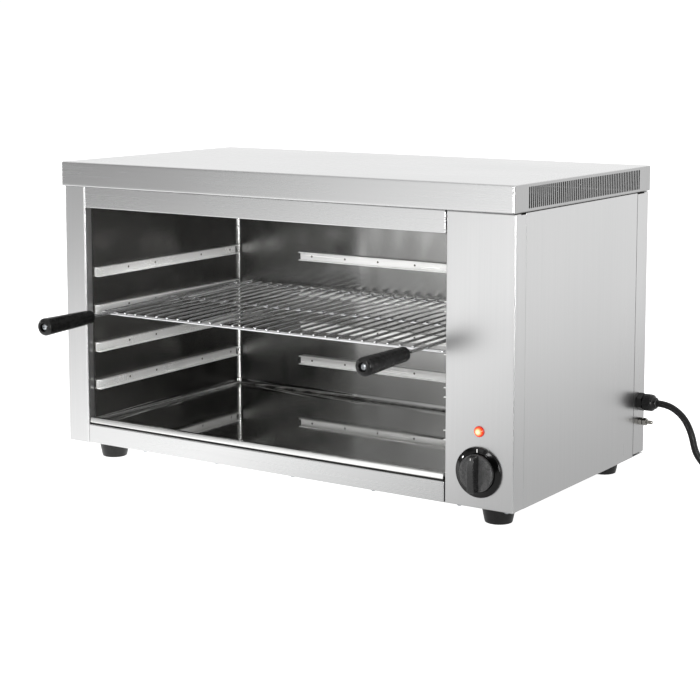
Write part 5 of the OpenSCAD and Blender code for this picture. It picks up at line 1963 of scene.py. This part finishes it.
@dataclass
class Controls:
    """Knob, its ring and the pilot lamp.

    Attributes:
        knob_r: Radius of the knob's disc.
        bar_w: Width of its grip bar.
        knob_out: How far the bar stands out of the panel.
        crown: How much lower the bar's ends are than its middle.
        rim_r: Radius of the lamp's rim.
    """

    knob_r: float = 26.0
    bar_w: float = 11.0
    knob_out: float = 26.0
    crown: float = 2.2
    rim_r: float = 7.5

    def build_bezel(self) -> None:
        """Turns the ring round the knob, with a tick at its top."""
        low, high = node_box("knob_bezel")
        at = Vector(((low.x + high.x) / 2, high.y, (low.z + high.z) / 2))
        edge = (high.x - low.x) / 2
        place = pointing(at, (0, -1, 0))
        ring = Shape()
        profile = [(edge - 3, 0), (edge, 0), (edge, 2.2)] + arc((edge - 1.6, 2.4), 1.6, 0, 70, 6)
        r = self.knob_r
        profile += [(edge - 3.6, 4.7), (edge - 5.2, 5.6), (r + 2.2, 6.4), (r + 1.4, 6.3)]
        profile += [(r + 1, 5.9), (r + 1, 3.2), (r - 4, 3.2), (r - 4, 1.6), (edge - 3, 1.6)]
        ring.lathe(profile, place, 128, closed=True)
        ring.piece("knob_ring", GLOSS_ABS, CABINET, ["knob_bezel"], even=False)
        tick = Shape()
        tick.block((at.x - 0.75, at.y - 6.35, at.z + 28.2), (at.x + 0.75, at.y - 5.4, at.z + 33.0), 0.2, 2)
        tick.piece("ring_tick", MARKING_INK, CABINET)

    def build_knob(self) -> None:
        """Moulds the knob: a disc, a grip bar with soft edges and a white pointer."""
        low, high = node_box("control_knob")
        axis_x, axis_z = (low.x + high.x) / 2, (low.z + high.z) / 2
        face_y = low.y + self.knob_out
        place = pointing((axis_x, face_y, axis_z), (0, -1, 0))
        r = self.knob_r
        disc = Shape()
        profile = [(0, 4.2), (r - 1.5, 4.2), (r - 0.3, 5), (r, 6)] + arc((r - 2.2, 8.8), 2.2, 0, 80, 6)
        profile += [(r - 4, 11.3), (r - 9, 11.7), (0, 11.8)]
        disc.lathe(profile, place, 128)
        disc.piece("knob_disc", GRAINED_ABS, KNOB, ["control_knob"])
        bar = Shape()
        half, long = self.bar_w / 2, r - 0.7
        # Sections of the bar from the disc up: straight sides, then a rounded edge in to the crowned top
        edge = 1.4
        base, draft = 8.5, 0.35
        rise = self.knob_out - base
        steps = [(0.0, 0.0), (1.0 - edge / rise, draft)]
        for a in (math.radians(15 * k) for k in range(1, 7)):
            steps.append((1.0 - edge * (1 - math.sin(a)) / rise, draft + edge * (1 - math.cos(a))))
        rows = []
        for share, inset in steps:
            reach, wide = long - inset, half - inset
            corner = math.asin(wide / reach)
            up = [reach * math.cos(corner) * k / 6 for k in range(-6, 7)]
            cap = [corner * k / 4 for k in range(3, -4, -1)]
            tip = [(reach * math.sin(a), reach * math.cos(a)) for a in cap]
            loop = [(wide, y) for y in up] + tip + [(-wide, y) for y in reversed(up)]
            loop += [(-x, -y) for x, y in tip]
            rows.append([
                Vector((x, y, base + share * (rise - self.crown * (y / long) ** 2))) for x, y in loop
            ])
        bar.skin(rows, around=True)
        bar.mesh.verts.ensure_lookup_table()
        top = bar.mesh.verts[-len(rows[0]):]
        count = len(up)
        caps = len(tip)
        for k in range(count - 1):
            other = 2 * count + caps - 1 - k
            bar.mesh.faces.new((top[k], top[k + 1], top[other - 1], top[other]))
        bar.mesh.faces.new(top[count - 1:count + caps + 1])
        bar.mesh.faces.new([*top[2 * count + caps - 1:], top[0]])
        slot = Shape()
        slot.block((-0.75, long - 5.0, self.knob_out - self.crown - 0.2), (0.75, long + 1, self.knob_out + 1))
        bar.cut(slot)
        for vert in bar.mesh.verts:
            vert.co = place @ vert.co
        bar.piece("knob_bar", SATIN_ABS, KNOB)
        mark = Shape()
        mark_z = self.knob_out - self.crown
        mark.block((-0.7, long - 4.7, mark_z - 0.3), (0.7, long - 1.6, mark_z + 0.1), 0.1, 2)
        for vert in mark.mesh.verts:
            vert.co = place @ vert.co
        mark.piece("knob_pointer", MARKING_INK, KNOB)

    def build_lamp(self) -> None:
        """Moulds the pilot lamp's lens with its rings, and its rim."""
        low, high = node_box("pilot_lamp_lens")
        at = Vector(((low.x + high.x) / 2, node_box("knob_bezel")[1].y, (low.z + high.z) / 2))
        place = pointing(at, (0, -1, 0))
        r = (high.x - low.x) / 2
        lens = Shape()
        profile = [(0, 1.6), (r, 1.6), (r, 3.2)]
        for k in range(4):
            outer, height = r - 0.15 - k * 1.25, 3.5 + 0.55 * k
            profile += [(outer, height), (outer - 0.45, height + 0.35), (outer - 0.9, height + 0.3)]
        profile += [(0.5, 5.75), (0, 5.8)]

        def fluted(radius: float, height: float, angle: float) -> float:
            """Gives the lens's rings twelve shallow flutes."""
            return radius * (1 + 0.012 * math.cos(12 * angle)) if height > 3.4 else radius

        lens.lathe(profile, place, 48, reach=fluted)
        lens.piece("lamp_lens_moulded", AMBER_LENS, CABINET, ["pilot_lamp_lens"], even=False)
        rim = Shape()
        outer = self.rim_r
        profile = [(outer - 1.5, 1.0), (outer - 1.5, 1.7), (outer - 1.2, 2.0), (outer - 0.5, 2.0)]
        profile += [(outer - 0.1, 1.6), (outer, 1.0), (outer, 0.0), (5.0, 0.0), (5.0, 1.0)]
        rim.lathe(profile, place, 64, closed=True)
        back = [(0, 0.2), (5.0, 0.2), (5.0, -25.5), (4.5, -26), (0, -26)]
        rim.lathe(back, place, 48)
        for side in (-1, 1):
            x = at.x + side * 2.5
            rim.block((x - 0.4, at.y + 25, at.z - 1.4), (x + 0.4, at.y + 32, at.z + 1.4), 0.1, 1)
        rim.piece("lamp_housing", RED_HOUSING, CABINET, ["pilot_lamp_body"])

    def build(self) -> None:
        """Builds the controls and dresses the parts behind the panel."""
        self.build_bezel()
        self.build_knob()
        self.build_lamp()
        dress("regulator_shaft", ZINC_PLATED)
        dress("regulator_screws", ZINC_PLATED)
        dress("energy_regulator", THERMOSET)


# ---- Cable entry and earth stud ----


@dataclass
class CableEntry:
    """The cable gland and the earth stud beside it.

    Attributes:
        hex_l: Length of the gland's hexagon.
        nut_l: Distance from the panel to the end of the gland's nut.
        stud_r: Radius of the stud.
        neck_r: Radius of the stud's turned neck.
        neck_l: Length of that neck.
        nut_r: Radius of the nuts over their corners.
        washer_r: Radius of the washers.
        washer_h: Thickness of the washers.
    """

    hex_l: float = 9.0
    nut_l: float = 24.0
    stud_r: float = 3.0
    neck_r: float = 2.6
    neck_l: float = 0.6
    nut_r: float = 5.8
    washer_r: float = 7.0
    washer_h: float = 1.2

    def build_gland(self) -> bpy.types.Object:
        """Moulds the gland: hexagon, ribbed dome nut and its collar round the cord.

        Returns:
            The gland.
        """
        low, high = node_box("cable_gland")
        panel_x = node_box("right_side_panel")[1].x
        at = Vector((panel_x, (low.y + high.y) / 2, (low.z + high.z) / 2))
        place = pointing(at, (1, 0, 0))
        out = high.x - panel_x
        r = (high.y - low.y) / 2
        gland = Shape()
        gland.hex_nut(place, r, self.hex_l, 5.3)
        ribs = 24

        def ribbed(radius: float, height: float, angle: float) -> float:
            """Presses grooves into the nut's side."""
            deep = 0.75 if self.hex_l + 1.5 < height < self.nut_l - 3 and radius > r - 2 else 0.0
            return radius - deep * (0.5 - 0.5 * math.cos(ribs * angle)) ** 3

        nut = r - 0.9
        profile = [(r - 3.2, self.hex_l - 0.3), (r - 3.2, self.hex_l + 0.9), (nut - 0.6, self.hex_l + 0.9)]
        profile += [(nut, self.hex_l + 1.5), (nut, self.hex_l + 2)]
        profile += [(nut, self.nut_l - 4.2), (nut - 0.2, self.nut_l - 3)]
        profile += arc((nut - 5.2, self.nut_l - 3.4), 5.2, 15, 70, 6)
        collar = 7.65
        profile += [(collar + 1.4, out - 2.2), (collar + 0.5, out - 0.6), (collar - 0.4, out)]
        profile += [(5.6, out), (5.3, out - 0.8)]
        profile += [(5.3, self.hex_l - 0.3)]
        gland.lathe(profile, place, 192, closed=True, reach=ribbed)
        thread = [(5.3, -13.0), (9.4, -13.0), (9.7, -12.4), (9.7, 0.2), (5.3, 0.2)]
        gland.lathe(thread, place, 48, closed=True)
        return gland.piece("gland_moulded", NYLON, CABINET, ["cable_gland"])

    def build_stud(self) -> None:
        """Turns the threaded stud with its neck, and its nuts and washers."""
        low, high = node_box("earth_stud")
        place = pointing((low.x, (low.y + high.y) / 2, (low.z + high.z) / 2), (1, 0, 0))
        length = high.x - low.x
        nuts = node_islands("earth_nuts")
        neck = max(box[1].x for box in nuts) - low.x
        # An M6 thread has a pitch of 1 mm; it is drawn at 1.25 mm so that it shows
        pitch, deep = 1.25, 0.42
        r = self.stud_r
        stud = Shape()
        profile = [(0, 0), (r - 0.6, 0), (r - 0.1, 0.5)]
        z = 0.6
        while z + pitch < length - 0.6:
            if z < neck < z + pitch:
                profile += [(self.neck_r, neck), (self.neck_r, neck + self.neck_l)]
                z = neck + self.neck_l + 0.05
                continue
            profile += [(r - deep, z), (r, z + pitch * 0.42), (r, z + pitch * 0.58)]
            z += pitch
        profile += [(r - deep, length - 0.6), (r - 0.8, length), (0, length)]
        stud.lathe(profile, place, 32)
        stud.piece("earth_stud_turned", NICKEL_PLATED, CABINET, ["earth_stud"], even=False)
        loose = Shape()
        bore = self.stud_r + 0.05
        for nut_low, nut_high in nuts:
            middle = (nut_low + nut_high) / 2
            seat = pointing((nut_low.x, middle.y, middle.z), (1, 0, 0))
            thick = nut_high.x - nut_low.x
            if thick > 2 * self.washer_h:
                loose.hex_nut(seat, self.nut_r, thick, bore)
            else:
                r, edge = self.washer_r, 0.15
                ring = [(bore, 0), (r - edge, 0), (r, edge)]
                ring += [(r, thick - edge), (r - edge, thick), (bore, thick)]
                loose.lathe(ring, seat, 48, closed=True)
        loose.piece(
            "earth_nuts_and_washers", NICKEL_PLATED, CABINET, ["earth_nuts"], even=False
        )

    def build(self) -> bpy.types.Object:
        """Builds the entry.

        Returns:
            The gland, which the cord comes out of.
        """
        gland = self.build_gland()
        self.build_stud()
        dress("gland_locknut", NYLON, 0.3)
        return gland


# ---- Feet and inner works ----


@dataclass
class Feet:
    """The four rubber feet and their screws.

    Attributes:
        sink_r: Radius of the recess for the screw's head.
        sink_h: Depth of that recess.
        bore_r: Radius of the screw's hole.
        taper: How much wider a foot's radius is at its top.
    """

    taper: float = 4.5
    sink_r: float = 6.5
    sink_h: float = 12.0
    bore_r: float = 2.65

    def build(self) -> None:
        """Moulds the feet."""
        for where in ("front_left", "front_right", "rear_left", "rear_right"):
            low, high = node_box(f"foot_{where}")
            height = high.z - low.z
            top_r = (high.x - low.x) / 2
            bottom_r = top_r - self.taper
            place = Matrix.Translation(((low.x + high.x) / 2, (low.y + high.y) / 2, low.z))
            profile = [(self.sink_r, 0.4), (self.sink_r + 0.4, 0)]
            profile += arc((bottom_r - 1.2, 1.2), 1.2, -90, -8, 5)
            profile += [(bottom_r + self.taper * share, height * share) for share in (0.3, 0.6, 0.9)]
            profile += [(top_r - 0.1, height - 0.5), (top_r - 0.4, height), (self.bore_r, height)]
            profile += [(self.bore_r, self.sink_h), (self.sink_r, self.sink_h)]
            foot = Shape()
            foot.lathe(profile, place, 72, closed=True)
            foot.piece(f"foot_{where}_moulded", FOOT_RUBBER, CABINET, [f"foot_{where}"])
        screw = pan_screw(10.0, 3.0, 5.0, 19.0)
        group = Shape()
        for low, high in node_islands("foot_screws"):
            middle = (low + high) / 2
            group.stamp(screw, Matrix.Translation((middle.x, middle.y, low.z + 3.0)))
        group.piece("foot_screw_set", ZINC_PLATED, CABINET, ["foot_screws"], even=False)


def dress_inner_works() -> None:
    """Gives the parts inside the control compartment their finishes."""
    dress("terminal_block", CERAMIC, 0.4)
    dress("internal_wires", SILICONE)
    dress("inner_lead", RUBBER_SHEATH)


def main() -> None:
    """Builds every sub-assembly in order."""
    logging.basicConfig(level=logging.INFO, format="%(name)s: %(message)s")
    Studio().build()
    gland = CableEntry().build()
    MainsCord().build(gland)
    Cabinet().build()
    Cavity().build()
    CrumbTray().build()
    WireRack().build()
    HeatingElements().build()
    Controls().build()
    Feet().build()
    dress_inner_works()
    LOG.info("sizes written")


if __name__ == "__main__":
    main()
